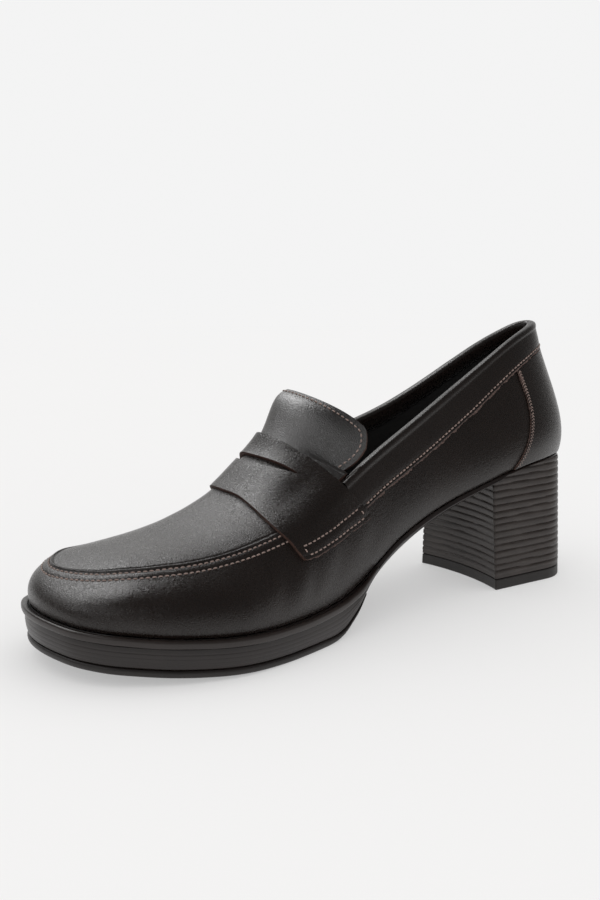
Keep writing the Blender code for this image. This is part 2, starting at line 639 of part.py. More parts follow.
def shell_from(fn, al, bl, off0, off1, hole=(), sides=None):
    """Closed plate between two offsets of a surface fn(a, b), with open cells
    (i, j) left out. sides picks the outward direction from a surface normal."""
    al, bl = np.asarray(al, float), np.asarray(bl, float)
    na, nb = len(al), len(bl)
    a, b = np.meshgrid(al, bl, indexing="ij")
    p = fn(a, b)
    n = normals(fn, a, b, (al[-1] - al[0]) * 0.004, (bl[-1] - bl[0]) * 0.004)
    mid = p.mean(axis=(0, 1)) * 0 + np.array([p[..., 0].mean() * 0, p[..., 1].mean(), 30.0])
    if np.sum(n * (p - mid)) < 0:
        n = -n
    lo, hi = p + n * off0, p + n * off1
    bm = bmesh.new()
    wl, wh = to_world(lo), to_world(hi)
    vl = [[bm.verts.new(wl[i, j]) for j in range(nb)] for i in range(na)]
    vh = [[bm.verts.new(wh[i, j]) for j in range(nb)] for i in range(na)]
    hole = set(hole)

    def solid(i, j):
        return 0 <= i < na - 1 and 0 <= j < nb - 1 and (i, j) not in hole

    for i in range(na - 1):
        for j in range(nb - 1):
            if not solid(i, j):
                continue
            bm.faces.new((vh[i][j], vh[i + 1][j], vh[i + 1][j + 1], vh[i][j + 1]))
            bm.faces.new((vl[i][j], vl[i][j + 1], vl[i + 1][j + 1], vl[i + 1][j]))
            for (di, dj, e) in ((-1, 0, ((i, j), (i, j + 1))), (1, 0, ((i + 1, j + 1), (i + 1, j))),
                                (0, -1, ((i + 1, j), (i, j))), (0, 1, ((i, j + 1), (i + 1, j + 1)))):
                if not solid(i + di, j + dj):
                    (p0, p1) = e
                    bm.faces.new((vl[p0[0]][p0[1]], vh[p0[0]][p0[1]], vh[p1[0]][p1[1]], vl[p1[0]][p1[1]]))
    bmesh.ops.delete(bm, geom=[v for v in bm.verts if not v.link_faces], context='VERTS')
    return bm


def make_strap(coll, mat):
    rows = [0, 0.16, 0.33, 0.49, 0.51, 0.67, 0.84, 1]
    q_a, q_b = (1 - SLOT_TO) / 2, (1 - SLOT_FROM) / 2
    qs = np.concatenate([np.linspace(0, 0.26, 7), np.linspace(0.3, q_a, 3), np.linspace(q_a, q_b, 11)[1:],
                         np.linspace(q_b, 0.7, 4)[1:], np.linspace(0.74, 1, 7)])
    qs = np.unique(np.round(qs, 5))
    inside = [j for j in range(len(qs) - 1) if q_a - 1e-4 <= qs[j] and qs[j + 1] <= q_b + 1e-4]
    bm = shell_from(strap_surface, rows, qs, GAP + 0.15, GAP + STRAP_T, [(3, j) for j in inside])
    return finish_mesh("saddle_strap", bm, coll, mat)


def tongue_surface(t, w):
    """Tongue: t 0 under the strap, 1 at the top edge; w across."""
    t, w = np.broadcast_arrays(np.asarray(t, float), np.asarray(w, float))
    # the top edge rises a little to the outer side and rounds off at the corners
    a = np.abs(w)
    u_top = TONGUE_TO + 0.16 * smooth(0.1, 0.8, a) - 0.75 * np.clip((a - 0.86) / 0.14, 0, 1) ** 2.2
    u = TONGUE_FROM + (u_top - TONGUE_FROM) * t
    return plug(u, w * lerp(0.97, 1.0, smooth(0.0, 0.3, t)))


def make_tongue(coll, mat):
    ts = [0, 0.12, 0.24, 0.36, 0.48, 0.6, 0.71, 0.81, 0.9, 0.96, 1]
    ws = [-1, -0.94, -0.85, -0.7, -0.5, -0.3, -0.12, 0.05, 0.2, 0.35, 0.5, 0.64, 0.76, 0.86, 0.94, 1]
    bm = shell_from(tongue_surface, ts, ws, -WALL, 0.0)
    return finish_mesh("tongue", bm, coll, mat)


def rim_depth(k, depth, n=60):
    """v on the wall at a given distance below the rim."""
    k = np.atleast_1d(k)
    depth = np.broadcast_to(depth, k.shape)
    vs = np.linspace(1, 0.3, n)
    kk, vv = np.meshgrid(k, vs, indexing="ij")
    p = wall(kk, vv)
    l = np.concatenate([np.zeros((len(p), 1)), np.cumsum(np.linalg.norm(np.diff(p, axis=1), axis=-1), axis=1)], 1)
    return np.array([np.interp(depth[i], l[i], vs) for i in range(len(p))])


def wall_normal(k, v):
    n = normals(wall, k, v)
    # outward
    fx, fs, nx, ns = feather(k)
    sgn = np.sign(n[..., 0] * nx + n[..., 1] * ns)
    return n * sgn[..., None]


# Depth of the collar band for each section, strap to heel.
BAND_DEPTH = [(11.8, 13.2), (14.5, 13.6), (15.6, 13.4), (16.5, 12.3), (17.5, 11.0), (18.5, 10.2), (20.0, 10.2)]


def band_depth(k):
    d = np.where(np.asarray(k, float) > LAST, LOOP - k, k)
    return table_fn(BAND_DEPTH)(d)


def band_start(v):
    """Section where the band meets the strap's rear edge."""
    return 11.97 + 0.93 * (1 - v)


def make_binding(coll, mat):
    mid = np.concatenate([[12.7, 13.2, 13.8], np.arange(14.5, LOOP - 14.4, 0.5), [LOOP - 13.8, LOOP - 13.2, LOOP - 12.7]])
    base = np.concatenate([[12.2], mid, [LOOP - 12.2]])
    d = band_depth(base)
    v_low, v_mid = rim_depth(base, d), rim_depth(base, d * 0.5)
    v_one, v_in = rim_depth(base, 1.2), rim_depth(base, 4.0)
    v_top = np.full_like(base, 1.0)
    t0, t1 = GAP, GAP + BAND_T
    i0, i1 = -WALL - GAP, -WALL - GAP - 0.8

    def at(v, off, up=0.0):
        k = base.copy()
        k[0] = band_start(v[0])
        k[-1] = LOOP - band_start(v[-1])
        p = wall(k, v)
        n = wall_normal(k, v)
        tan = p - wall(k, v - 0.02)
        tan = tan / np.linalg.norm(tan, axis=-1)[..., None]
        return p + n * off + tan * up

    rows = [at(v_low, t0), at(v_low, t1), at(v_mid, t1), at(v_one, t1), at(v_top, t1 - 0.3, 0.6),
            at(v_top, -WALL / 2, 1.2), at(v_top, i1 + 0.3, 0.6), at(v_one, i1), at(v_in, i1),
            at(v_in, i0), at(v_one, i0), at(v_top, i0, GAP), at(v_top, t0, GAP), at(v_one, t0), at(v_mid, t0)]
    bm = bmesh.new()
    w = to_world(np.array(rows))
    vs = [[bm.verts.new(w[i, j]) for j in range(w.shape[1])] for i in range(w.shape[0])]
    n = len(vs)
    for i in range(n):
        a, b = vs[i], vs[(i + 1) % n]
        for j in range(len(a) - 1):
            bm.faces.new((a[j], a[j + 1], b[j + 1], b[j]))
    for j in (0, -1):
        bm.faces.new([vs[i][j] for i in range(n)])
    triangulate(bm)
    return finish_mesh("collar_binding", bm, coll, mat)


# Side seam of the heel counter: height on the wall, section.
COUNTER_SEAM = [(0.0, 16.30), (0.14, 16.61), (0.26, 16.82), (0.42, 17.02), (0.57, 17.11), (0.80, 17.17)]


def counter_surface(a, b):
    a, b = np.broadcast_arrays(np.asarray(a, float), np.asarray(b, float))
    ks = np.linspace(16.0, LOOP - 16.0, 49)
    tops = rim_depth(ks, band_depth(ks) + 0.5)
    k = lerp(16.9, LOOP - 16.9, a)
    for _ in range(3):
        v = lerp(0.015, 1.0, b) * np.interp(k, ks, tops)
        seam = table_fn(COUNTER_SEAM)(v)
        k = lerp(seam, LOOP - seam, a)
    return wall(k, v)


def make_counter(coll, mat):
    bm = shell_from(counter_surface, np.linspace(0, 1, 19), np.linspace(0, 1, 8), GAP, GAP + BAND_T)
    return finish_mesh("heel_counter", bm, coll, mat)


def main():
    for ob in list(bpy.data.objects):
        bpy.data.objects.remove(ob, do_unlink=True)
    coll = bpy.data.collections.new("loafer_pump")
    bpy.context.scene.collection.children.link(coll)
    leather = material("upper_leather", (0.030, 0.023, 0.019), 0.42)
    strap_l = material("strap_leather", (0.032, 0.025, 0.021), 0.42)
    tongue_l = material("tongue_leather", (0.032, 0.025, 0.021), 0.44)
    band_l = material("binding_leather", (0.030, 0.023, 0.019), 0.38)
    counter_l = material("counter_leather", (0.030, 0.023, 0.019), 0.40)
    lining = material("insole_lining", (0.012, 0.011, 0.010), 0.7)
    rubber = material("midsole_rubber", (0.030, 0.024, 0.020), 0.45)
    rubber_o = material("outsole_rubber", (0.028, 0.022, 0.019), 0.5)
    rubber_w = material("welt_rubber", (0.032, 0.025, 0.021), 0.42)
    heel_m = material("heel_stack", (0.040, 0.032, 0.027), 0.5)
    lift_m = material("top_lift_rubber", (0.028, 0.022, 0.019), 0.55)
    make_outsole(coll, rubber_o)
    make_midsole(coll, rubber)
    make_welt(coll, rubber_w)
    make_insole(coll, lining)
    make_heel(coll, heel_m, lift_m)
    make_upper(coll, leather)
    make_tongue(coll, tongue_l)
    make_strap(coll, strap_l)
    make_binding(coll, band_l)
    make_counter(coll, counter_l)


main()
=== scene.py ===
"""The looks of the loafer pump: every visible piece at full detail, built
from the same sections of the last as the solid model, with leather, thread,
cut edges, lining and moulded sole materials.
Local frame in mm: x to the outer side, s from the heel's back to the toe, z up."""
import bpy
import bmesh
import math
import numpy as np
from mathutils import Matrix, Vector


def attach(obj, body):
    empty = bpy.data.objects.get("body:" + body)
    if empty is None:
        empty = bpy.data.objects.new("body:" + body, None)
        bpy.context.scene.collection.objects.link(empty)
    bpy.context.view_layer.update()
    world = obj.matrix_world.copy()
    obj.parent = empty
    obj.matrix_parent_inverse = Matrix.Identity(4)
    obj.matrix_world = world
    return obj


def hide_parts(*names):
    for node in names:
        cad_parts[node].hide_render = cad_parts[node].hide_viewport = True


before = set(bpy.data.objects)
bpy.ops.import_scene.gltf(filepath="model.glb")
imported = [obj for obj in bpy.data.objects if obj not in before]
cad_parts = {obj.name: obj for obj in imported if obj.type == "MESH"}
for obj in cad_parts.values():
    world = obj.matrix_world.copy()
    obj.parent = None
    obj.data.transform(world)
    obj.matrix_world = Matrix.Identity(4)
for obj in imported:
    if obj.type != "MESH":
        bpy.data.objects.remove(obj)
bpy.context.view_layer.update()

# ------------------------------------------------------------------ sizes
MM = 0.001
S_MID = 122.46          # s of the world origin
X_MID = 6.05           # x of the world origin
WALL = 2.0             # leather and lining together
GAP = 0.3              # clearance between neighbouring pieces
STRAP_T = 1.3          # saddle strap leather
BAND_T = 0.8           # collar band and counter leather
LEDGE_FORE = 2.9       # rim beyond the feather line, forepart
LEDGE_BACK = 0.8       # the same at waist and heel
WELT_H = 2.7           # height of the rim strip
WELT_PROUD = 1.3       # rim beyond the platform wall
OUTSOLE_T = 2.6        # bottom layer
INSOLE_T = 2.0
LIFT_T = 4.5           # heel top-lift
HEEL_FRONT_S = 49.0    # breast plane at the floor
HEEL_HALF = 25.0       # half width of the heel at the floor
HEEL_TAPER = 0.061     # half width lost per mm of height
HEEL_BACK_S = 2.5
HEEL_BACK_LEAN = 0.019
HEEL_STRAIGHT_S = 20.5 # where the heel's round back starts
HEEL_POWER = 2.34
BREAST_HOLLOW = 3.2    # depth of the concave breast

# A row for each section of the last, toe tip to heel back.
# feather line: f_s, half widths f_out (outer side) and f_in (inner side)
# upper edge of the wall (apron seam, then topline): r_s, r_out, r_in, z_out, z_in
# wall shape: lean (degrees outward at the feather), end (degrees of rise at
# the upper edge), k0 and k1 (lengths of the two pulls, parts of the chord)
COLS = ("f_s", "f_out", "f_in", "r_s", "r_out", "r_in", "z_out", "z_in", "lean", "end", "k0", "k1")
SECTIONS = [
    (242.3, 2.0, -2.0, 232.8, -3.9, 3.9, 34.8, 34.8, 12, 34, 0.50, 0.40),
    (241.6, 10.0, 6.0, 229.8, 5.9, 12.7, 34.8, 35.3, 12, 34, 0.50, 0.40),
    (239.0, 20.0, 14.2, 224.1, 15.0, 17.7, 35.6, 35.7, 11, 34, 0.48, 0.40),
    (235.2, 26.8, 19.8, 219.0, 20.0, 19.2, 36.4, 35.6, 9, 34, 0.45, 0.40),
    (229.5, 32.8, 24.6, 213.0, 24.3, 20.3, 37.0, 35.5, 8, 33, 0.44, 0.40),
    (222.0, 37.5, 28.4, 206.0, 27.5, 21.6, 37.5, 35.7, 8, 33, 0.44, 0.40),
    (212.0, 42.7, 32.0, 199.0, 30.0, 23.0, 37.9, 35.7, 8, 33, 0.43, 0.40),
    (199.5, 46.8, 34.8, 190.0, 31.5, 24.2, 38.5, 36.2, 8, 34, 0.42, 0.40),
    (185.0, 48.8, 36.4, 180.0, 32.4, 25.2, 39.8, 37.2, 8, 36, 0.40, 0.40),
    (168.0, 46.5, 36.6, 168.0, 32.7, 26.0, 42.4, 39.6, 9, 40, 0.38, 0.38),
    (152.0, 42.3, 35.0, 155.0, 32.2, 26.4, 45.8, 43.6, 11, 48, 0.36, 0.36),
    (137.0, 37.5, 31.8, 142.0, 30.8, 26.2, 50.6, 49.2, 14, 60, 0.35, 0.34),
    (122.0, 33.2, 28.4, 129.0, 28.3, 24.8, 57.6, 55.8, 17, 72, 0.34, 0.32),
    (105.0, 29.4, 25.6, 112.0, 24.4, 21.8, 65.7, 63.0, 18, 79, 0.33, 0.30),
    (88.0, 27.0, 24.2, 95.0, 20.7, 19.0, 72.8, 69.4, 18, 80, 0.33, 0.30),
    (70.0, 26.2, 24.3, 76.0, 16.7, 16.5, 81.0, 76.4, 17, 80, 0.33, 0.30),
    (50.0, 26.5, 25.2, 55.0, 12.9, 13.0, 90.6, 87.3, 16, 80, 0.33, 0.30),
    (30.0, 25.2, 25.0, 36.0, 11.2, 11.0, 100.4, 97.2, 16, 80, 0.33, 0.30),
    (14.0, 19.8, 19.8, 23.0, 8.6, 9.0, 105.3, 103.2, 18, 81, 0.33, 0.30),
    (5.4, 11.5, 11.5, 15.0, 5.0, 5.0, 107.3, 107.1, 20, 82, 0.33, 0.30),
    (2.6, 0.0, 0.0, 11.5, 0.0, 0.0, 108.0, 108.0, 20, 82, 0.33, 0.30),
]
LAST = len(SECTIONS) - 1
LOOP = 2 * LAST
THROAT = 11.8          # section where the vamp stops under the strap

# Crest of the vamp and tongue for each section: c_s, c_x, c_z.
CREST = [
    (232.8, -3.9, 34.8), (229.6, -3.3, 35.7), (224.0, -1.8, 37.0), (218.6, -1.2, 38.0),
    (212.6, -2.4, 38.6), (206.0, -3.8, 39.3), (199.5, -5.0, 40.1), (191.5, -6.0, 41.4),
    (182.5, -6.8, 43.8), (172.5, -7.4, 47.5), (163.5, -7.8, 52.0), (155.5, -8.3, 58.0),
    (147.5, -9.0, 64.7), (142.0, -9.5, 70.8), (137.5, -10.5, 78.0),
    (132.8, -11.5, 84.9), (126.5, -12.5, 87.4),
]
# Side edges of the tongue for the sections past the throat: s, out, in, z_out, z_in
TONGUE_EDGE = [
    (128.6, 23.2, 21.5, 59.4, 61.0), (124.2, 25.0, 22.0, 63.2, 68.0),
    (120.2, 26.5, 22.5, 67.9, 75.0), (115.8, 26.6, 22.5, 73.9, 81.0),
]
TONGUE_FROM = 12.15
TONGUE_TO = 15.85

# Top of the sole under the feather line, and underside of the platform: s, z
SOLE_TOP = [(-5, 52.9), (5, 53.2), (15, 53.8), (30, 53.2), (45, 50.9), (60, 47.1),
            (75, 42.9), (90, 37.8), (105, 31.5), (112, 27.6), (120, 23.0), (130, 17.9), (140, 15.3),
            (150, 14.4), (165, 14.0), (180, 14.4), (200, 15.7), (215, 17.1), (230, 19.0),
            (238, 20.1), (245, 21.2), (252, 22.3)]
SOLE_LOW = [(-5, 50.3), (10, 50.5), (30, 50.0), (50, 46.5), (60, 43.3), (75, 38.2),
            (90, 32.3), (105, 25.0), (112, 21.0), (119, 16.4), (125, 11.4), (131, 6.0),
            (137, 1.7), (142, 0.3), (147, 0.0), (164, 0.0), (176, 0.29), (190, 0.97), (203, 1.92),
            (215, 3.06), (226, 4.33), (236, 5.66), (245, 7.0), (252, 8.1)]


# ------------------------------------------------------------ curve helpers
def spline(ts, vs, t):
    """Natural cubic spline through (ts, vs), read at t."""
    ts = np.asarray(ts, float)
    vs = np.asarray(vs, float)
    n = len(ts)
    h = np.diff(ts)
    a = np.zeros((n, n))
    b = np.zeros(n)
    a[0, 0] = a[-1, -1] = 1.0
    for i in range(1, n - 1):
        a[i, i - 1] = h[i - 1]
        a[i, i] = 2 * (h[i - 1] + h[i])
        a[i, i + 1] = h[i]
        b[i] = 6 * ((vs[i + 1] - vs[i]) / h[i] - (vs[i] - vs[i - 1]) / h[i - 1])
    m = np.linalg.solve(a, b)
    t = np.asarray(t, float)
    i = np.clip(np.searchsorted(ts, t) - 1, 0, n - 2)
    w = (t - ts[i]) / h[i]
    u = 1 - w
    return (u * vs[i] + w * vs[i + 1]
            + ((u ** 3 - u) * m[i] + (w ** 3 - w) * m[i + 1]) * h[i] ** 2 / 6)


def ring_spline_setup(vs):
    """Second derivatives of the closed cubic spline through vs at 0, 1, 2 ..."""
    n = len(vs)
    a = np.zeros((n, n))
    b = np.zeros(n)
    for i in range(n):
        a[i, (i - 1) % n] += 1
        a[i, i] += 4
        a[i, (i + 1) % n] += 1
        b[i] = 6 * (vs[(i + 1) % n] - 2 * vs[i] + vs[(i - 1) % n])
    return np.linalg.solve(a, b)


def ring_spline(vs, m, k):
    n = len(vs)
    i = np.floor(k).astype(int)
    w = k - i
    u = 1 - w
    i0 = i % n
    i1 = (i + 1) % n
    return u * vs[i0] + w * vs[i1] + ((u ** 3 - u) * m[i0] + (w ** 3 - w) * m[i1]) / 6


def table_fn(rows):
    s = np.array([r[0] for r in rows], float)
    z = np.array([r[1] for r in rows], float)
    h = np.diff(s)
    d = np.diff(z) / h
    g = np.zeros(len(s))
    for i in range(1, len(s) - 1):
        if d[i - 1] * d[i] > 0:
            w1, w2 = 2 * h[i] + h[i - 1], h[i] + 2 * h[i - 1]
            g[i] = (w1 + w2) / (w1 / d[i - 1] + w2 / d[i])
    g[0], g[-1] = d[0], d[-1]

    def f(q):
        q = np.clip(np.asarray(q, float), s[0], s[-1])
        i = np.clip(np.searchsorted(s, q) - 1, 0, len(s) - 2)
        t = (q - s[i]) / h[i]
        return ((2 * t ** 3 - 3 * t ** 2 + 1) * z[i] + (t ** 3 - 2 * t ** 2 + t) * h[i] * g[i]
                + (-2 * t ** 3 + 3 * t ** 2) * z[i + 1] + (t ** 3 - t ** 2) * h[i] * g[i + 1])
    return f


sole_top = table_fn(SOLE_TOP)
sole_low = table_fn(SOLE_LOW)


def smooth(a, b, q):
    t = np.clip((np.asarray(q, float) - a) / (b - a), 0, 1)
    return t * t * (3 - 2 * t)


def lerp(a, b, t):
    return a + (b - a) * t


# --------------------------------------------------------------- the last
def build_loops():
    """Closed loops k = 0..LOOP-1: toe, outer side, heel, inner side."""
    col = {c: i for i, c in enumerate(COLS)}
    out = {}
    order = [(r, 1) for r in range(LAST + 1)] + [(r, -1) for r in range(LAST - 1, 0, -1)]
    names = {"fs": ("f_s", "f_s"), "fx": ("f_out", "f_in"), "rs": ("r_s", "r_s"),
             "rx": ("r_out", "r_in"), "rz": ("z_out", "z_in"), "lean": ("lean", "lean"),
             "end": ("end", "end"), "k0": ("k0", "k0"), "k1": ("k1", "k1")}
    for n, (ci, co) in names.items():
        vals = []
        for r, side in order:
            v = float(SECTIONS[r][col[ci if side > 0 else co]])
            if n in ("fx", "rx"):
                v *= side
            vals.append(v)
        vals = np.array(vals)
        out[n] = (vals, ring_spline_setup(vals))
    return out


LOOPS = build_loops()


def read(name, k):
    v, m = LOOPS[name]
    return ring_spline(v, m, np.asarray(k, float))


def feather(k):
    """Feather line point and its outward normal in plan."""
    k = np.asarray(k, float)
    x, s = read("fx", k), read("fs", k)
    e = 0.02
    dx = read("fx", k + e) - read("fx", k - e)
    ds = read("fs", k + e) - read("fs", k - e)
    l = np.hypot(dx, ds)
    return x, s, -ds / l, dx / l


def rim_line(k):
    k = np.asarray(k, float)
    x, s, z = read("rx", k), read("rs", k), read("rz", k)
    e = 0.02
    dx = read("rx", k + e) - read("rx", k - e)
    ds = read("rs", k + e) - read("rs", k - e)
    l = np.hypot(dx, ds)
    return x, s, z, -ds / l, dx / l


def wall(k, v):
    """Outer surface of the wall: k round the shoe, v from feather to rim."""
    k, v = np.broadcast_arrays(np.asarray(k, float), np.asarray(v, float))
    fx, fs, fnx, fns = feather(k)
    rx, rs, rz, rnx, rns = rim_line(k)
    fz = sole_top(fs)
    p0 = np.stack([fx, fs, fz], -1)
    p3 = np.stack([rx, rs, rz], -1)
    chord = np.linalg.norm(p3 - p0, axis=-1)[..., None]
    lean = np.radians(read("lean", k))
    end = np.radians(read("end", k))
    p1 = p0 + read("k0", k)[..., None] * chord * np.stack(
        [np.sin(lean) * fnx, np.sin(lean) * fns, np.cos(lean)], -1)
    p2 = p3 - read("k1", k)[..., None] * chord * np.stack(
        [-np.cos(end) * rnx, -np.cos(end) * rns, np.sin(end)], -1)
    v = v[..., None]
    u = 1 - v
    return u ** 3 * p0 + 3 * u * u * v * p1 + 3 * u * v * v * p2 + v ** 3 * p3


CREST_A = np.array(CREST, float)
EDGE_A = np.array(TONGUE_EDGE, float)


def plug_edge(u, side):
    """Edge of the vamp's top surface: the rim, then the tongue's side edge."""
    u = np.asarray(u, float)
    rows = []
    for r in range(len(CREST)):
        if r <= 12:
            rows.append((float(SECTIONS[r][COLS.index("r_s")]),
                         float(SECTIONS[r][COLS.index("r_out" if side > 0 else "r_in")]) * side,
                         float(SECTIONS[r][COLS.index("z_out" if side > 0 else "z_in")])))
        else:
            e = TONGUE_EDGE[r - 13]
            rows.append((e[0], (e[1] if side > 0 else e[2]) * side, e[3] if side > 0 else e[4]))
    rows = np.array(rows)
    ts = np.arange(len(rows), dtype=float)
    past = np.stack([spline(ts, rows[:, 1], u), spline(ts, rows[:, 0], u),
                     spline(ts, rows[:, 2], u)], -1)
    k = u if side > 0 else LOOP - u
    rx, rs, rz, _, _ = rim_line(k)
    here = np.stack([rx, rs, rz], -1)
    w = smooth(11.9, 12.6, u)[..., None]
    return here * (1 - w) + past * w


def plug(u, w):
    """Top surface of vamp and tongue: u along the sections, w across,
    -1 at the inner edge, 0 at the crest, +1 at the outer edge."""
    u, w = np.broadcast_arrays(np.asarray(u, float), np.asarray(w, float))
    ts = np.arange(len(CREST), dtype=float)
    c = np.stack([spline(ts, CREST_A[:, 1], u), spline(ts, CREST_A[:, 0], u),
                  spline(ts, CREST_A[:, 2], u)], -1)
    ei = plug_edge(u, 1)
    eo = plug_edge(u, -1)
    across = ei - eo
    across[..., 2] = 0
    al = np.linalg.norm(across, axis=-1)[..., None]
    across = across / np.maximum(al, 1e-6)
    e = np.where((w >= 0)[..., None], ei, eo)
    sgn = np.where(w >= 0, 1.0, -1.0)[..., None]
    d = e - c
    ln = np.linalg.norm(d, axis=-1)[..., None]
    p1 = c + sgn * across * 0.46 * ln
    # the pull at the edge: down and out, steeper than the chord
    dn = d / np.maximum(ln, 1e-6)
    pull = dn + np.array([0, 0, -0.34])
    pull = pull / np.linalg.norm(pull, axis=-1)[..., None]
    p2 = e - pull * 0.30 * ln
    # close to the toe the arch flattens into the seam
    f = smooth(0.0, 3.5, u)[..., None]
    p1 = lerp(c + d * 0.38, p1, f)
    p2 = lerp(c + d * 0.70, p2, f)
    t = np.abs(w)[..., None]
    q = 1 - t
    return q ** 3 * c + 3 * q * q * t * p1 + 3 * q * t * t * p2 + t ** 3 * e


def normals(fn, a, b, ea=0.02, eb=0.01):
    """Unit normals of a two-parameter surface by differences."""
    pa = fn(a + ea, b) - fn(a - ea, b)
    pb = fn(a, b + eb) - fn(a, b - eb)
    n = np.cross(pa, pb)
    return n / np.maximum(np.linalg.norm(n, axis=-1)[..., None], 1e-9)


def to_world(p):
    p = np.asarray(p, float)
    return np.stack([(p[..., 0] - X_MID) * MM, (S_MID - p[..., 1]) * MM, p[..., 2] * MM], -1)


def sole_ring(ks, off, zfn):
    x, s, nx, ns = feather(ks)
    off = off(s) if callable(off) else off
    x2, s2 = x + off * nx, s + off * ns
    return np.stack([x2, s2, zfn(s2)], -1)


def fore(s):
    return smooth(112, 130, s)


def loop_ks(step=0.5):
    """Outer side from the heel to the toe, then the inner side back."""
    inner = np.arange(LAST, -1e-6, -step)
    outer = np.arange(LOOP - step, LAST + 1e-6, -step)
    return np.concatenate([inner, outer])


def out_t(s):
    return lerp(1.2, OUTSOLE_T, smooth(122, 150, s))


def mid_low(s):
    """Underside of the midsole: over the outsole, then the open waist."""
    s = np.asarray(s, float)
    return sole_low(s) + (out_t(s) + GAP) * smooth(113, 121, s)



def fore_ks(s_end, step=0.5):
    """Round the forepart only, from the outer waist by the toe to the inner waist."""
    ks = np.arange(0, LAST, 0.05)
    k_in = ks[np.argmin(np.abs(read("fs", ks) - s_end))]
    inner = np.arange(np.floor(k_in / step) * step, -1e-6, -step)
    inner = np.concatenate([[k_in], inner[inner < k_in - 0.1]])
    return np.concatenate([inner, (LOOP - inner[::-1])[1:]])



def cross(u, q, v_in, v_out):
    """A line across the shoe on the upper's outer surface at section u.
    q runs 0..1 from v_in on the inner wall, over the top, to v_out outside."""
    u, q, v_in, v_out = np.broadcast_arrays(*[np.asarray(a, float) for a in (u, q, v_in, v_out)])
    a, b = 0.27, 0.73
    wi = np.clip(q / a, 0, 1)
    wo = np.clip((q - b) / (1 - b), 0, 1)
    inner = wall(u, lerp(v_in, 1.0, wi))
    outer = wall(LOOP - u, lerp(1.0, v_out, wo))
    over = plug(u, np.clip(1 - 2 * (q - a) / (b - a), -1, 1))
    q3 = q[..., None]
    return np.where(q3 < a, inner, np.where(q3 > b, outer, over))


# Saddle strap outline: place across (1 outer end, 0 crest, -1 inner end),
# section numbers of its front edge, its slot and its rear edge.
STRAP_FRONT = [
    (-1.0, 9.97), (-0.86, 10.0), (-0.6, 10.03), (-0.34, 10.04), (-0.12, 10.04), (0.0, 10.04),
    (0.049, 10.04), (0.089, 10.02), (0.128, 9.97), (0.183, 9.84), (0.235, 9.715), (0.294, 9.60),
    (0.349, 9.505), (0.401, 9.446), (0.46, 9.45), (0.633, 9.60), (0.93, 9.757), (1.0, 9.83),
]
STRAP_SLOT = [(-1.0, 11.0), (-0.6, 11.0), (-0.46, 11.2), (-0.32, 11.52), (0.0, 11.52), (0.3, 11.54),
              (0.46, 11.2), (0.6, 11.0), (1.0, 11.0)]
STRAP_REAR = [
    (-1.0, 12.28), (-0.86, 12.20), (-0.6, 11.99), (-0.44, 11.86), (-0.379, 11.93), (-0.327, 12.05),
    (-0.287, 12.166), (-0.258, 12.30), (-0.231, 12.58), (-0.191, 12.80), (-0.141, 12.956),
    (-0.093, 13.01), (0.0, 13.064), (0.043, 13.064), (0.093, 13.01), (0.141, 12.956), (0.191, 12.80),
    (0.231, 12.58), (0.258, 12.30), (0.287, 12.166), (0.327, 12.05), (0.379, 11.93), (0.44, 11.86),
    (0.6, 11.99), (0.86, 12.20), (1.0, 12.28),
]
STRAP_LOW = [(0.0, 0.612), (0.15, 0.603), (0.4, 0.612), (0.69, 0.600), (0.95, 0.546), (1.0, 0.54)]
SLOT_FROM, SLOT_TO = -0.322, 0.262  # ends of the slot, as places across
SLOT_W = 0.30                       # its greatest width, in sections

strap_front = table_fn(STRAP_FRONT)
strap_slot = table_fn(STRAP_SLOT)
strap_rear = table_fn(STRAP_REAR)


def strap_lines(c):
    """Front edge, the slot's two lips and the rear edge at a place across."""
    mid, half = (SLOT_FROM + SLOT_TO) / 2, (SLOT_TO - SLOT_FROM) / 2
    wide = np.clip(1 - ((c - mid) / half) ** 2, 0, 1)
    lip = strap_slot(c)
    return strap_front(c), lip - 0.012, lip + 0.022 + SLOT_W * wide, strap_rear(c)


def strap_surface(r, q):
    """Saddle strap: r 0 at the front edge, 1 at the rear edge, the slot
    between 0.49 and 0.51; q across, 0 at the outer end."""
    r, q = np.broadcast_arrays(np.asarray(r, float), np.asarray(q, float))
    c = 1 - 2 * q
    uf, l0, l1, ur = strap_lines(c)
    u = np.where(r < 0.49, lerp(uf, l0, r / 0.49),
                 np.where(r <= 0.51, lerp(l0, l1, (r - 0.49) / 0.02),
                          lerp(l1, ur, (r - 0.51) / 0.49)))
    share = (u - uf) / (ur - uf)
    v_low = np.interp(share, [t[0] for t in STRAP_LOW], [t[1] for t in STRAP_LOW])
    return cross(u, q, v_low, v_low)



def tongue_surface(t, w):
    """Tongue: t 0 under the strap, 1 at the top edge; w across."""
    t, w = np.broadcast_arrays(np.asarray(t, float), np.asarray(w, float))
    # the top edge rises a little to the outer side and rounds off at the corners
    a = np.abs(w)
    u_top = TONGUE_TO + 0.16 * smooth(0.1, 0.8, a) - 0.75 * np.clip((a - 0.86) / 0.14, 0, 1) ** 2.2
    u = TONGUE_FROM + (u_top - TONGUE_FROM) * t
    return plug(u, w * lerp(0.97, 1.0, smooth(0.0, 0.3, t)))



def rim_depth(k, depth, n=60):
    """v on the wall at a given distance below the rim."""
    k = np.atleast_1d(k)
    depth = np.broadcast_to(depth, k.shape)
    vs = np.linspace(1, 0.3, n)
    kk, vv = np.meshgrid(k, vs, indexing="ij")
    p = wall(kk, vv)
    l = np.concatenate([np.zeros((len(p), 1)), np.cumsum(np.linalg.norm(np.diff(p, axis=1), axis=-1), axis=1)], 1)
    return np.array([np.interp(depth[i], l[i], vs) for i in range(len(p))])


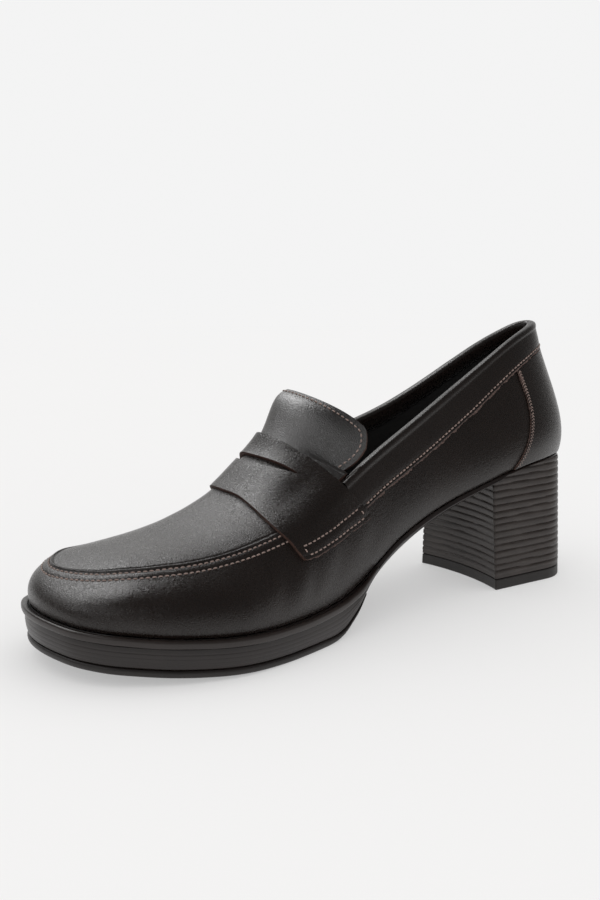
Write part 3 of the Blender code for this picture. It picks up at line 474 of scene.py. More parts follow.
def wall_normal(k, v):
    n = normals(wall, k, v)
    # outward
    fx, fs, nx, ns = feather(k)
    sgn = np.sign(n[..., 0] * nx + n[..., 1] * ns)
    return n * sgn[..., None]


# Depth of the collar band for each section, strap to heel.
BAND_DEPTH = [(11.8, 13.2), (14.5, 13.6), (15.6, 13.4), (16.5, 12.3), (17.5, 11.0), (18.5, 10.2), (20.0, 10.2)]


def band_depth(k):
    d = np.where(np.asarray(k, float) > LAST, LOOP - k, k)
    return table_fn(BAND_DEPTH)(d)


def band_start(v):
    """Section where the band meets the strap's rear edge."""
    return 11.97 + 0.93 * (1 - v)



# Side seam of the heel counter: height on the wall, section.
COUNTER_SEAM = [(0.0, 16.30), (0.14, 16.61), (0.26, 16.82), (0.42, 17.02), (0.57, 17.11), (0.80, 17.17)]


def counter_surface(a, b):
    a, b = np.broadcast_arrays(np.asarray(a, float), np.asarray(b, float))
    ks = np.linspace(16.0, LOOP - 16.0, 49)
    tops = rim_depth(ks, band_depth(ks) + 0.5)
    k = lerp(16.9, LOOP - 16.9, a)
    for _ in range(3):
        v = lerp(0.015, 1.0, b) * np.interp(k, ks, tops)
        seam = table_fn(COUNTER_SEAM)(v)
        k = lerp(seam, LOOP - seam, a)
    return wall(k, v)



# ------------------------------------------------------------ mesh building
def outward(P, centre_s=True):
    """+1 if grid normals point away from the shoe's long axis, else -1."""
    a = P[1:, :-1] - P[:-1, :-1]
    b = P[:-1, 1:] - P[:-1, :-1]
    n = np.cross(a, b)
    c = P[:-1, :-1] - np.array([0.0, 0.0, 32.0])
    c[..., 1] = 0
    return 1.0 if np.sum(n * c) > 0 else -1.0


def mesh_object(name, verts, faces, mats, mat_index=None, merge=0.0, sharp=None):
    """verts in local millimetres, faces as lists of indices."""
    me = bpy.data.meshes.new(name)
    me.from_pydata([tuple(v) for v in to_world(np.asarray(verts))], [], [tuple(int(i) for i in f) for f in faces])
    for m in mats:
        me.materials.append(m)
    if mat_index is not None:
        me.polygons.foreach_set("material_index", np.asarray(mat_index, dtype=np.int32))
    ob = bpy.data.objects.new(name, me)
    bpy.context.scene.collection.objects.link(ob)
    bm = bmesh.new()
    bm.from_mesh(me)
    if merge:
        bmesh.ops.remove_doubles(bm, verts=bm.verts, dist=merge * MM)
    bmesh.ops.dissolve_degenerate(bm, edges=bm.edges, dist=1e-7)
    loose = [v for v in bm.verts if not v.link_faces]
    bmesh.ops.delete(bm, geom=loose, context='VERTS')
    bm.to_mesh(me)
    bm.free()
    me.shade_smooth()
    if sharp:
        me.set_sharp_from_angle(angle=math.radians(sharp))
    return ob


def grid_faces(n, m, wrap_i=False, wrap_j=False, base=0, flip=False):
    i = np.arange(n if wrap_i else n - 1)
    j = np.arange(m if wrap_j else m - 1)
    I, J = np.meshgrid(i, j, indexing="ij")
    I2, J2 = (I + 1) % n, (J + 1) % m
    f = np.stack([I * m + J, I2 * m + J, I2 * m + J2, I * m + J2], -1).reshape(-1, 4) + base
    return f[:, ::-1] if flip else f


def grid_object(name, P, mats, wrap_i=False, wrap_j=False, flip=None, **kw):
    n, m = P.shape[:2]
    if flip is None:
        flip = outward(P) < 0
    return mesh_object(name, P.reshape(-1, 3), grid_faces(n, m, wrap_i, wrap_j, 0, flip), mats, **kw)


def shell(name, fn, al, bl, off0, off1, mats, hole=(), bevel=0.45, relief=None, merge=0.0):
    """Closed plate between two offsets of a surface; side faces take slot 1."""
    al, bl = np.asarray(al, float), np.asarray(bl, float)
    na, nb = len(al), len(bl)
    a, b = np.meshgrid(al, bl, indexing="ij")
    p = fn(a, b)
    n = normals(fn, a, b, (al[-1] - al[0]) * 0.004, (bl[-1] - bl[0]) * 0.004)
    mid = np.array([0, p[..., 1].mean(), 30.0])
    if np.sum(n * (p - mid)) < 0:
        n = -n
    top = off1 + (relief(a, b, p) if relief else 0.0)
    lo, hi = p + n * off0, p + n * np.expand_dims(np.broadcast_to(top, a.shape), -1)
    V = np.concatenate([lo.reshape(-1, 3), hi.reshape(-1, 3)])
    N = na * nb
    hole = set(hole)
    F, M = [], []

    def solid(i, j):
        return 0 <= i < na - 1 and 0 <= j < nb - 1 and (i, j) not in hole

    for i in range(na - 1):
        for j in range(nb - 1):
            if not solid(i, j):
                continue
            q = [i * nb + j, (i + 1) * nb + j, (i + 1) * nb + j + 1, i * nb + j + 1]
            F.append([x + N for x in q]); M.append(0)
            F.append(q[::-1]); M.append(0)
            for (di, dj, (e0, e1)) in ((-1, 0, (q[0], q[3])), (1, 0, (q[2], q[1])),
                                       (0, -1, (q[1], q[0])), (0, 1, (q[3], q[2]))):
                if not solid(i + di, j + dj):
                    F.append([e0, e0 + N, e1 + N, e1]); M.append(1)
    ob = mesh_object(name, V, F, mats, M, merge=merge)
    bm = bmesh.new()
    bm.from_mesh(ob.data)
    bmesh.ops.recalc_face_normals(bm, faces=bm.faces)
    bm.to_mesh(ob.data)
    bm.free()
    ob.data.shade_smooth()
    if bevel:
        bv = ob.modifiers.new("edge", 'BEVEL')
        bv.width = bevel * MM
        bv.segments = 3
        bv.limit_method = 'ANGLE'
        bv.angle_limit = math.radians(50)
        bv.use_clamp_overlap = True
        bv.harden_normals = False
    return ob


def polyline(P, step):
    """Even distances about step apart along P, and P's running length at each
    of its points; P is (n, k) with position first, further columns not read."""
    d = np.concatenate([[0], np.cumsum(np.linalg.norm(np.diff(P[:, :3], axis=0), axis=1))])
    n = max(2, int(round(d[-1] / step)))
    t = np.linspace(0, d[-1], n + 1)
    return t, d


class Stitches:
    """Rows of thread stitches collected into one mesh."""

    def __init__(self):
        self.V, self.F, self.n = [], [], 0

    def row(self, P, N, pitch=2.15, length=1.5, r=0.27, lift=0.16, slant=0.0, seed=1, start=0.5):
        P, N = np.asarray(P, float), np.asarray(N, float)
        rng = np.random.default_rng(seed)
        d = np.concatenate([[0], np.cumsum(np.linalg.norm(np.diff(P, axis=0), axis=1))])
        count = int(d[-1] / pitch)
        if count < 1:
            return
        step = d[-1] / count

        def at(q):
            return (np.array([np.interp(q, d, P[:, c]) for c in range(3)]),
                    np.array([np.interp(q, d, N[:, c]) for c in range(3)]))

        for i in range(count):
            mid = (i + start) * step + rng.uniform(-0.06, 0.06)
            half = length / 2 * rng.uniform(0.94, 1.06)
            p0, n0 = at(max(0, mid - half))
            p1, _ = at(min(d[-1], mid + half))
            pm, nm = at(min(max(mid, 0), d[-1]))
            t = p1 - p0
            t /= np.linalg.norm(t)
            nm = nm - t * np.dot(nm, t)
            nm /= np.linalg.norm(nm)
            side = np.cross(nm, t)
            t = t * math.cos(slant) + side * math.sin(slant)
            side = np.cross(nm, t)
            a = rng.uniform(-0.03, 0.03)
            rings = 9
            sect = 8
            for k in range(rings):
                x = -1 + 2 * k / (rings - 1)
                rad = r * (max(0.0, 1 - abs(x) ** 3.2)) ** 0.5 * (1 + 0.09 * math.sin(k * 2.4))
                z = lift * (1 - x * x) - 0.12 * x ** 4
                c = pm + t * (x * half) + nm * z + side * (a * x)
                for j in range(sect):
                    th = 2 * math.pi * j / sect
                    self.V.append(c + rad * (math.cos(th) * side + 0.8 * math.sin(th) * nm))
            for k in range(rings - 1):
                for j in range(sect):
                    j2 = (j + 1) % sect
                    o = self.n
                    self.F.append((o + k * sect + j, o + k * sect + j2, o + (k + 1) * sect + j2, o + (k + 1) * sect + j))
            self.n += rings * sect

    def done(self, name, mat, slot):
        ob = mesh_object(name, np.array(self.V), self.F, [mat], merge=0.002)
        keep(ob, slot)
        return ob


def keep(ob, slot, *nodes):
    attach(ob, "root")
    if nodes:
        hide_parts(*nodes)


# ---------------------------------------------------------------- materials
def new_mat(name):
    m = bpy.data.materials.new(name)
    m.use_nodes = True
    nt = m.node_tree
    b = nt.nodes["Principled BSDF"]
    return m, nt, b


def noise(nt, coord, scale, detail=2.0, rough=0.5, dist=0.0):
    n = nt.nodes.new("ShaderNodeTexNoise")
    n.inputs["Scale"].default_value = scale
    n.inputs["Detail"].default_value = detail
    n.inputs["Roughness"].default_value = rough
    n.inputs["Distortion"].default_value = dist
    nt.links.new(coord, n.inputs["Vector"])
    return n.outputs["Fac"]


def ramp(nt, fac, stops):
    r = nt.nodes.new("ShaderNodeValToRGB")
    while len(r.color_ramp.elements) < len(stops):
        r.color_ramp.elements.new(0.5)
    for e, (p, c) in zip(r.color_ramp.elements, stops):
        e.position = p
        e.color = (*c, 1.0) if len(c) == 3 else c
    nt.links.new(fac, r.inputs["Fac"])
    return r.outputs["Color"]


def maprange(nt, v, a, b, c, d):
    n = nt.nodes.new("ShaderNodeMapRange")
    n.inputs["From Min"].default_value = a
    n.inputs["From Max"].default_value = b
    n.inputs["To Min"].default_value = c
    n.inputs["To Max"].default_value = d
    nt.links.new(v, n.inputs["Value"])
    return n.outputs["Result"]


def mixc(nt, fac, a, b, mode='MIX'):
    n = nt.nodes.new("ShaderNodeMix")
    n.data_type = 'RGBA'
    n.blend_type = mode
    for sock, val in ((n.inputs[0], fac), (n.inputs[6], a), (n.inputs[7], b)):
        if isinstance(val, (int, float)):
            sock.default_value = val
        elif isinstance(val, tuple):
            sock.default_value = (*val, 1.0)
        else:
            nt.links.new(val, sock)
    return n.outputs[2]


def math_node(nt, op, a, b=None):
    n = nt.nodes.new("ShaderNodeMath")
    n.operation = op
    for sock, val in zip(n.inputs, (a, b)):
        if val is None:
            continue
        if isinstance(val, (int, float)):
            sock.default_value = val
        else:
            nt.links.new(val, sock)
    return n.outputs[0]


def bump(nt, height, dist, strength=1.0, below=None):
    n = nt.nodes.new("ShaderNodeBump")
    n.inputs["Strength"].default_value = strength
    n.inputs["Distance"].default_value = dist
    nt.links.new(height, n.inputs["Height"])
    if below is not None:
        nt.links.new(below, n.inputs["Normal"])
    return n.outputs["Normal"]


def leather(name, dark, light, rough=0.40, grain=1.0, spec=0.5, coat=0.0):
    """Fine-grained finished leather: pebble cells, pores, soft mottling."""
    m, nt, b = new_mat(name)
    tc = nt.nodes.new("ShaderNodeTexCoord").outputs["Object"]
    cloud = noise(nt, tc, 28, 3, 0.55)
    fine = noise(nt, tc, 900, 3, 0.6)
    vor = nt.nodes.new("ShaderNodeTexVoronoi")
    vor.feature = 'F1'
    vor.inputs["Scale"].default_value = 2300
    vor.inputs["Randomness"].default_value = 0.9
    warp = nt.nodes.new("ShaderNodeVectorMath")
    warp.operation = 'MULTIPLY_ADD'
    nn = nt.nodes.new("ShaderNodeTexNoise")
    nn.inputs["Scale"].default_value = 420
    nt.links.new(tc, nn.inputs["Vector"])
    nt.links.new(nn.outputs["Color"], warp.inputs[0])
    warp.inputs[1].default_value = (0.0009, 0.0009, 0.0009)
    nt.links.new(tc, warp.inputs[2])
    nt.links.new(warp.outputs[0], vor.inputs["Vector"])
    cells = vor.outputs["Distance"]
    base = ramp(nt, cloud, [(0.30, dark), (0.72, light)])
    pores = maprange(nt, cells, 0.1, 0.75, 1.0, 0.80)
    hsv = nt.nodes.new("ShaderNodeHueSaturation")
    hsv.inputs["Saturation"].default_value = 1.0
    nt.links.new(pores, hsv.inputs["Value"])
    nt.links.new(base, hsv.inputs["Color"])
    nt.links.new(hsv.outputs["Color"], b.inputs["Base Color"])
    rr = maprange(nt, fine, 0.3, 0.7, rough - 0.04, rough + 0.05)
    nt.links.new(rr, b.inputs["Roughness"])
    b.inputs["Specular IOR Level"].default_value = spec
    b.inputs["Coat Weight"].default_value = coat
    b.inputs["Coat Roughness"].default_value = 0.3
    b.inputs["Sheen Weight"].default_value = 0.04
    b.inputs["Sheen Roughness"].default_value = 0.5
    n0 = bump(nt, noise(nt, tc, 45, 2, 0.5), 0.0004, 0.08)
    n1 = bump(nt, maprange(nt, cells, 0.0, 0.8, 1.0, 0.0), 0.00011 * grain, 0.7, n0)
    n2 = bump(nt, fine, 0.00004 * grain, 0.5, n1)
    nt.links.new(n2, b.inputs["Normal"])
    return m


def raw_edge(name, a, c):
    """Cut edge of leather: fibrous, matte, warm brown."""
    m, nt, b = new_mat(name)
    tc = nt.nodes.new("ShaderNodeTexCoord").outputs["Object"]
    f = noise(nt, tc, 1400, 4, 0.65)
    nt.links.new(ramp(nt, f, [(0.32, a), (0.7, c)]), b.inputs["Base Color"])
    nt.links.new(maprange(nt, f, 0.2, 0.8, 0.65, 0.9), b.inputs["Roughness"])
    b.inputs["Specular IOR Level"].default_value = 0.3
    nt.links.new(bump(nt, f, 0.0002, 0.9), b.inputs["Normal"])
    return m


def thread(name, a, c):
    """Waxed sewing thread: twisted strands."""
    m, nt, b = new_mat(name)
    tc = nt.nodes.new("ShaderNodeTexCoord").outputs["Object"]
    f = noise(nt, tc, 2600, 3, 0.6)
    g = noise(nt, tc, 160, 2, 0.5)
    col = mixc(nt, g, ramp(nt, f, [(0.3, a), (0.7, c)]), tuple(0.75 * x for x in a))
    nt.links.new(col, b.inputs["Base Color"])
    nt.links.new(maprange(nt, f, 0.2, 0.8, 0.5, 0.75), b.inputs["Roughness"])
    b.inputs["Sheen Weight"].default_value = 0.25
    b.inputs["Sheen Roughness"].default_value = 0.4
    nt.links.new(bump(nt, f, 0.00012, 0.8), b.inputs["Normal"])
    return m


def moulded(name, dark, light, rough=0.45, fine_bump=0.00005, spec=0.5, streak=None):
    """Moulded sole material: satin, faint mottling and mould lines."""
    m, nt, b = new_mat(name)
    tc = nt.nodes.new("ShaderNodeTexCoord").outputs["Object"]
    cloud = noise(nt, tc, 40, 3, 0.6)
    fine = noise(nt, tc, 1500, 2, 0.6)
    base = ramp(nt, cloud, [(0.28, dark), (0.74, light)])
    if streak:
        mp = nt.nodes.new("ShaderNodeMapping")
        mp.inputs["Scale"].default_value = (0.12, 0.12, 1.0)
        nt.links.new(tc, mp.inputs["Vector"])
        st = noise(nt, mp.outputs["Vector"], streak, 3, 0.6)
        base = mixc(nt, maprange(nt, st, 0.42, 0.62, 0.0, 0.45), base, tuple(0.62 * x for x in dark))
    nt.links.new(base, b.inputs["Base Color"])
    nt.links.new(maprange(nt, fine, 0.25, 0.75, rough - 0.05, rough + 0.08), b.inputs["Roughness"])
    b.inputs["Specular IOR Level"].default_value = spec
    n0 = bump(nt, cloud, 0.0003, 0.25)
    n1 = bump(nt, fine, fine_bump, 0.6, n0)
    nt.links.new(n1, b.inputs["Normal"])
    return m


def cloth_lining(name):
    m, nt, b = new_mat(name)
    tc = nt.nodes.new("ShaderNodeTexCoord").outputs["Object"]
    w = nt.nodes.new("ShaderNodeTexWave")
    w.inputs["Scale"].default_value = 260
    w.inputs["Distortion"].default_value = 1.2
    nt.links.new(tc, w.inputs["Vector"])
    f = noise(nt, tc, 700, 3, 0.6)
    col = ramp(nt, f, [(0.3, (0.0045, 0.0042, 0.0042)), (0.75, (0.014, 0.012, 0.012))])
    nt.links.new(col, b.inputs["Base Color"])
    nt.links.new(maprange(nt, f, 0.2, 0.8, 0.7, 0.95), b.inputs["Roughness"])
    b.inputs["Specular IOR Level"].default_value = 0.25
    b.inputs["Sheen Weight"].default_value = 0.15
    nt.links.new(bump(nt, w.outputs["Fac"], 0.0001, 0.4, bump(nt, f, 0.0001, 0.6)), b.inputs["Normal"])
    return m


LEATHER_DARK, LEATHER_LIGHT = (0.0068, 0.0038, 0.0028), (0.0105, 0.0061, 0.0046)
M_UPPER = leather("upper_leather_look", LEATHER_DARK, LEATHER_LIGHT, 0.285)
M_STRAP = leather("strap_leather_look", LEATHER_DARK, LEATHER_LIGHT, 0.28)
M_TONGUE = leather("tongue_leather_look", LEATHER_DARK, LEATHER_LIGHT, 0.35, spec=1.45)
M_BAND = leather("band_leather_look", LEATHER_DARK, LEATHER_LIGHT, 0.29, grain=0.6)
M_COUNTER = leather("counter_leather_look", LEATHER_DARK, LEATHER_LIGHT, 0.28, grain=0.7)
M_EDGE = raw_edge("cut_edge_look", (0.030, 0.014, 0.010), (0.085, 0.045, 0.034))
M_THREAD = thread("thread_look", (0.19, 0.130, 0.110), (0.37, 0.272, 0.236))
M_FRAY = raw_edge("fray_look", (0.040, 0.024, 0.020), (0.135, 0.090, 0.078))
M_LINING = cloth_lining("lining_look")
M_MID = moulded("midsole_look", (0.0085, 0.0052, 0.0045), (0.0140, 0.0092, 0.0080), 0.34)
M_OUT = moulded("outsole_look", (0.0080, 0.0052, 0.0046), (0.0130, 0.0090, 0.0079), 0.42, 0.00008)
M_WELT = moulded("welt_look", (0.0130, 0.0086, 0.0072), (0.0200, 0.0140, 0.0120), 0.34)
M_HEEL = moulded("heel_look", (0.0225, 0.0160, 0.0136), (0.0390, 0.0300, 0.0262), 0.42, 0.00007, streak=900)
M_LIFT = moulded("top_lift_look", (0.0090, 0.0064, 0.0056), (0.0145, 0.0110, 0.0096), 0.46, 0.00009)


# ------------------------------------------------------------------- relief
def rim_distance(k, v):
    """Distance down the wall from its upper edge, in mm, for a regular grid."""
    ks = np.arange(0, LOOP + 1e-6, 0.5)
    vs = np.linspace(0, 1, 60)
    kk, vv = np.meshgrid(ks, vs, indexing="ij")
    p = wall(kk, vv)
    seg = np.linalg.norm(np.diff(p, axis=1), axis=-1)
    dist = np.concatenate([np.cumsum(seg[:, ::-1], axis=1)[:, ::-1], np.zeros((len(ks), 1))], 1)
    k = np.asarray(k, float) % LOOP
    v = np.asarray(v, float)
    k, v = np.broadcast_arrays(k, v)
    i = np.clip((k / 0.5).astype(int), 0, len(ks) - 2)
    f = k / 0.5 - i
    g = np.clip(v, 0, 1) * (len(vs) - 1)
    j = np.clip(g.astype(int), 0, len(vs) - 2)
    h = g - j
    return ((1 - f) * ((1 - h) * dist[i, j] + h * dist[i, j + 1])
            + f * ((1 - h) * dist[i + 1, j] + h * dist[i + 1, j + 1]))


def toe_side(k):
    """Section number counted from the toe on either side."""
    k = np.asarray(k, float) % LOOP
    return np.minimum(k, LOOP - k)


STITCH_1, STITCH_2 = 1.35, 4.5      # apron stitch rows, below the seam


def wave(p, seed, size, amp):
    """Gentle unevenness: a few crossed waves about size mm long."""
    rng = np.random.default_rng(seed)
    out = np.zeros(p.shape[:-1])
    for _ in range(7):
        d = rng.normal(size=3)
        d /= np.linalg.norm(d)
        out += np.sin(2 * math.pi * (p @ d) / (size * rng.uniform(0.7, 1.5)) + rng.uniform(0, 6.28))
    return out * amp / 3.0


# soft creases of the walls: place (section, height on the wall), direction
# in degrees on the wall (0 along the shoe), length, width, depth (mm)
CREASES = [
    (9.1, 0.40, 62, 17, 3.4, 0.30), (9.9, 0.30, 66, 15, 3.0, 0.26),
    (10.9, 0.34, 58, 15, 3.6, 0.22), (12.1, 0.30, 50, 13, 3.8, 0.22),
    (7.8, 0.34, 70, 11, 3.0, 0.16),
]


def wall_relief(k, v, p):
    t = rim_distance(k, v)
    d = toe_side(k)
    on = 1 - smooth(11.3, 11.9, d)
    h = 0.40 * np.exp(-((t - 0.12) / 0.42) ** 2)
    h = h - 0.14 * np.exp(-((t - STITCH_1) / 0.30) ** 2)
    mid = np.clip((t - STITCH_1) / (STITCH_2 - STITCH_1), 0, 1)
    h = h + 0.26 * np.sin(math.pi * mid) ** 0.8 * (mid > 0) * (mid < 1)
    h = h - 0.12 * np.exp(-((t - STITCH_2) / 0.32) ** 2)
    out = h * on
    # creases, the same on both sides but weaker on the inner one
    kk = np.asarray(k, float) % LOOP
    side = np.where(kk <= LAST, 1.0, 0.75)
    for (cu, cv, deg, length, width, depth) in CREASES:
        c = wall(np.array([cu]), np.array([cv]))[0]
        for sgn in (1, -1):
            cc = c if sgn > 0 else wall(np.array([LOOP - cu]), np.array([cv]))[0]
            ds = (p[..., 1] - cc[1])
            dz = (p[..., 2] - cc[2])
            a = math.radians(deg)
            al = ds * math.cos(a) * -1 + dz * math.sin(a)
            ac = ds * math.sin(a) + dz * math.cos(a)
            near = (np.sign(p[..., 0] - cc[0] * 0.2) == np.sign(cc[0]))
            out = out - side * near * depth * np.exp(-(al / (length * 0.55)) ** 2) * (
                np.exp(-(ac / width) ** 2) - 0.45 * np.exp(-((ac - 1.7 * width) / (1.2 * width)) ** 2))
    out = out + wave(p, 3, 26, 0.10) * smooth(0.02, 0.15, v)
    # the edge tucks in against the sole
    out = out - 0.35 * (1 - smooth(0.0, 0.035, v))
    # pressed in where the strap covers it
    cover = smooth(10.2, 10.6, d) * (1 - smooth(11.35, 11.7, d)) * smooth(0.78, 0.9, v)
    return out * (1 - 0.6 * cover) - 0.9 * cover


def plug_relief(u, w, p):
    ei, eo = plug_edge(u, 1), plug_edge(u, -1)
    d = np.minimum(np.linalg.norm(p - ei, axis=-1), np.linalg.norm(p - eo, axis=-1))
    h = 0.40 * np.exp(-((d + 0.12) / 0.42) ** 2) - 0.24 * np.exp(-((d - 0.85) / 0.36) ** 2)
    # faint cross creases ahead of the strap
    s = p[..., 1]
    fold = np.zeros(s.shape)
    for (s0, dep, wid) in ((176.0, 0.05, 3.0), (185.5, 0.04, 3.0)):
        bend = s0 - 0.010 * (p[..., 0] + 6) ** 2
        fold -= dep * np.exp(-((s - bend) / wid) ** 2)
        fold += 0.6 * dep * np.exp(-((s - bend - 2.1 * wid) / (1.3 * wid)) ** 2)
    cover = smooth(10.2, 10.6, u) * (1 - smooth(11.35, 11.7, u)) * smooth(0.6, 0.85, np.abs(w))
    return (h * (1 - cover) - 0.9 * cover) + fold * smooth(3, 10, d) + wave(p, 9, 34, 0.08) * smooth(1.5, 6, d)


def skin_wall(k, v, off=0.0):
    k, v = np.broadcast_arrays(np.asarray(k, float), np.asarray(v, float))
    p = wall(k, v)
    n = wall_normal(k, v)
    r = wall_relief(k, v, p) + off
    return p + n * r[..., None], n


def plug_normal(u, w):
    n = normals(plug, u, w)
    return n * np.where(n[..., 2] < 0, -1.0, 1.0)[..., None]


def skin_plug(u, w, off=0.0):
    u, w = np.broadcast_arrays(np.asarray(u, float), np.asarray(w, float))
    p = plug(u, w)
    n = plug_normal(u, np.clip(w, -0.985, 0.985))
    r = plug_relief(u, w, p) + off
    return p + n * r[..., None], n


def under_strap(ws, t):
    """The vamp's end under the strap, carried on behind the slot."""
    reach = 0.31 * (1 - smooth(0.5, 0.75, np.abs(ws))) * t
    return skin_plug(THROAT + reach, ws)[0]


# -------------------------------------------------------------------- upper
def build_upper():
    ks = np.arange(0, LOOP, 0.1)
    vs = np.concatenate([[0, 0.008, 0.018, 0.03, 0.045], np.linspace(0.07, 0.78, 30), np.linspace(0.79, 1.0, 44)])
    k, v = np.meshgrid(ks, vs, indexing="ij")
    W, _ = skin_wall(k, v)
    us = np.append(np.arange(0.1, THROAT - 0.05, 0.1), THROAT)
    half = np.concatenate([1 - np.linspace(0, 0.16, 16), np.linspace(0.82, 0, 28)])
    ws = np.concatenate([-half, half[::-1][1:]])
    u, w = np.meshgrid(us, ws, indexing="ij")
    P, _ = skin_plug(u, w)
    P = np.concatenate([P, np.stack([under_strap(ws, t) for t in (0.25, 0.5, 0.75, 1.0)])])
    iu = np.round(us / 0.1).astype(int)
    for r, i in enumerate(iu):
        if abs(us[r] - ks[min(i, len(ks) - 1)]) < 1e-6:
            P[r, -1] = W[i, -1]
            P[r, 0] = W[(len(ks) - i) % len(ks), -1]
    nW, mW = W.shape[:2]
    nP, mP = P.shape[:2]
    FW = grid_faces(nW, mW, True, False, 0, outward(W) < 0)
    FP = grid_faces(nP, mP, False, False, nW * mW, outward(P) < 0)
    base = nW * mW
    tip = W[0, -1]
    V = np.concatenate([W.reshape(-1, 3), P.reshape(-1, 3)])
    tipf = []
    tip_i = mW - 1
    up = FP[0]
    for j in range(mP - 1):
        tipf.append([tip_i, base + j, base + j + 1])
    a, b2, c = V[tipf[5][0]], V[tipf[5][1]], V[tipf[5][2]]
    if np.cross(b2 - a, c - a)[2] < 0:
        tipf = [f[::-1] for f in tipf]
    faces = [list(f) for f in FW] + [list(f) for f in FP] + tipf
    ob = mesh_object("upper_skin", V, faces, [M_UPPER], merge=0.01)
    keep(ob, "upper_leather", "upper")

    # inside: lining of walls and vamp
    ks = np.arange(0, LOOP, 0.25)
    vs = np.linspace(0.0, 1.0, 26)
    k, v = np.meshgrid(ks, vs, indexing="ij")
    p = wall(k, v) - wall_normal(k, v) * (WALL - 0.15)
    us = np.append(np.arange(0.5, THROAT - 0.1, 0.25), THROAT)
    ws = np.linspace(-1, 1, 33)
    u, w = np.meshgrid(us, ws, indexing="ij")
    q = plug(u, w * 0.97) - plug_normal(u, np.clip(w * 0.97, -0.98, 0.98)) * (WALL - 0.15)
    n1, m1 = p.shape[:2]
    n2, m2 = q.shape[:2]
    f1 = grid_faces(n1, m1, True, False, 0, outward(p) > 0)
    f2 = grid_faces(n2, m2, False, False, n1 * m1, outward(q) > 0)
    ob = mesh_object("lining", np.concatenate([p.reshape(-1, 3), q.reshape(-1, 3)]),
                     [list(f) for f in f1] + [list(f) for f in f2], [M_LINING])
    keep(ob, "insole_lining")

    # the vamp's cut edge under the strap
    ws = np.linspace(-1, 1, 61)
    top = under_strap(ws, 1.0)
    bot = plug(np.full_like(ws, THROAT), ws * 0.985) - plug_normal(np.full_like(ws, THROAT), ws * 0.97) * (WALL - 0.15)
    E = np.stack([top, (top + bot) / 2 + np.array([0, -0.15, 0]), bot])
    ob = grid_object("vamp_edge", E, [M_EDGE], flip=False)
    keep(ob, "upper_leather")


def along_wall(k, depth_fn, off):
    v = rim_depth(k % LOOP, depth_fn(k) if callable(depth_fn) else depth_fn)
    p, n = skin_wall(k, v, off)
    return p, n


def build_apron_stitches(st):
    for t, seed in ((STITCH_1, 5), (STITCH_2, 6)):
        k = np.arange(-10.6, 10.6001, 0.05)
        p, n = along_wall(k, t, 0.02)
        st.row(p, n, pitch=2.15, length=1.74, r=0.30, lift=0.22, seed=seed)


# -------------------------------------------------------------------- strap
def strap_skin(r, q):
    """Strap surface with its bend over the seam rounded off."""
    r, q = np.broadcast_arrays(np.asarray(r, float), np.asarray(q, float))
    c = np.abs(1 - 2 * q)
    reach = 0.062 * smooth(0.20, 0.40, c) * (1 - smooth(0.60, 0.80, c))
    total = 0
    out = 0
    for x in np.linspace(-1, 1, 9):
        wt = 1 - 0.75 * abs(x)
        out = out + wt * strap_surface(r, q + reach * x)
        total += wt
    return out / total


def strap_relief(a, b, p):
    c = 1 - 2 * b
    # fullness between the edges, and the slot's lips rolled a little
    edge = np.clip(np.minimum(a, 1 - a) / 0.10, 0, 1)
    puff = 0.14 * np.sin(edge * math.pi / 2)
    mid, half = (SLOT_FROM + SLOT_TO) / 2, (SLOT_TO - SLOT_FROM) / 2
    open_ = np.clip(1.05 - ((c - mid) / half) ** 2, 0, 1) ** 0.7
    lip = 0.30 * open_ * np.exp(-np.clip(a - 0.51, 0, 1) / 0.055) * (a >= 0.5)
    lip = lip - 0.12 * open_ * np.exp(-np.clip(0.49 - a, 0, 1) / 0.07) * (a < 0.5)
    # soft dip across the strap below the near end of the slot
    fold = -0.30 * np.exp(-((c - 0.33) / 0.055) ** 2) * np.exp(-((a - 0.40) / 0.28) ** 2)
    fold += 0.22 * np.exp(-((c - 0.20) / 0.07) ** 2) * np.exp(-((a - 0.30) / 0.22) ** 2)
    # sewn-down ends: the rows pull the leather in
    end = np.abs(c)
    sewn = -0.12 * np.exp(-((end - STRAP_ROWS[0]) / 0.012) ** 2) - 0.12 * np.exp(-((end - STRAP_ROWS[1]) / 0.012) ** 2)
    sewn += 0.12 * np.exp(-((end - (STRAP_ROWS[0] + STRAP_ROWS[1]) / 2) / 0.04) ** 2)
    return puff + lip + fold + sewn + wave(p, 21, 26, 0.08)


STRAP_ROWS = (0.947, 0.803)
SLOT_FROM = -0.21


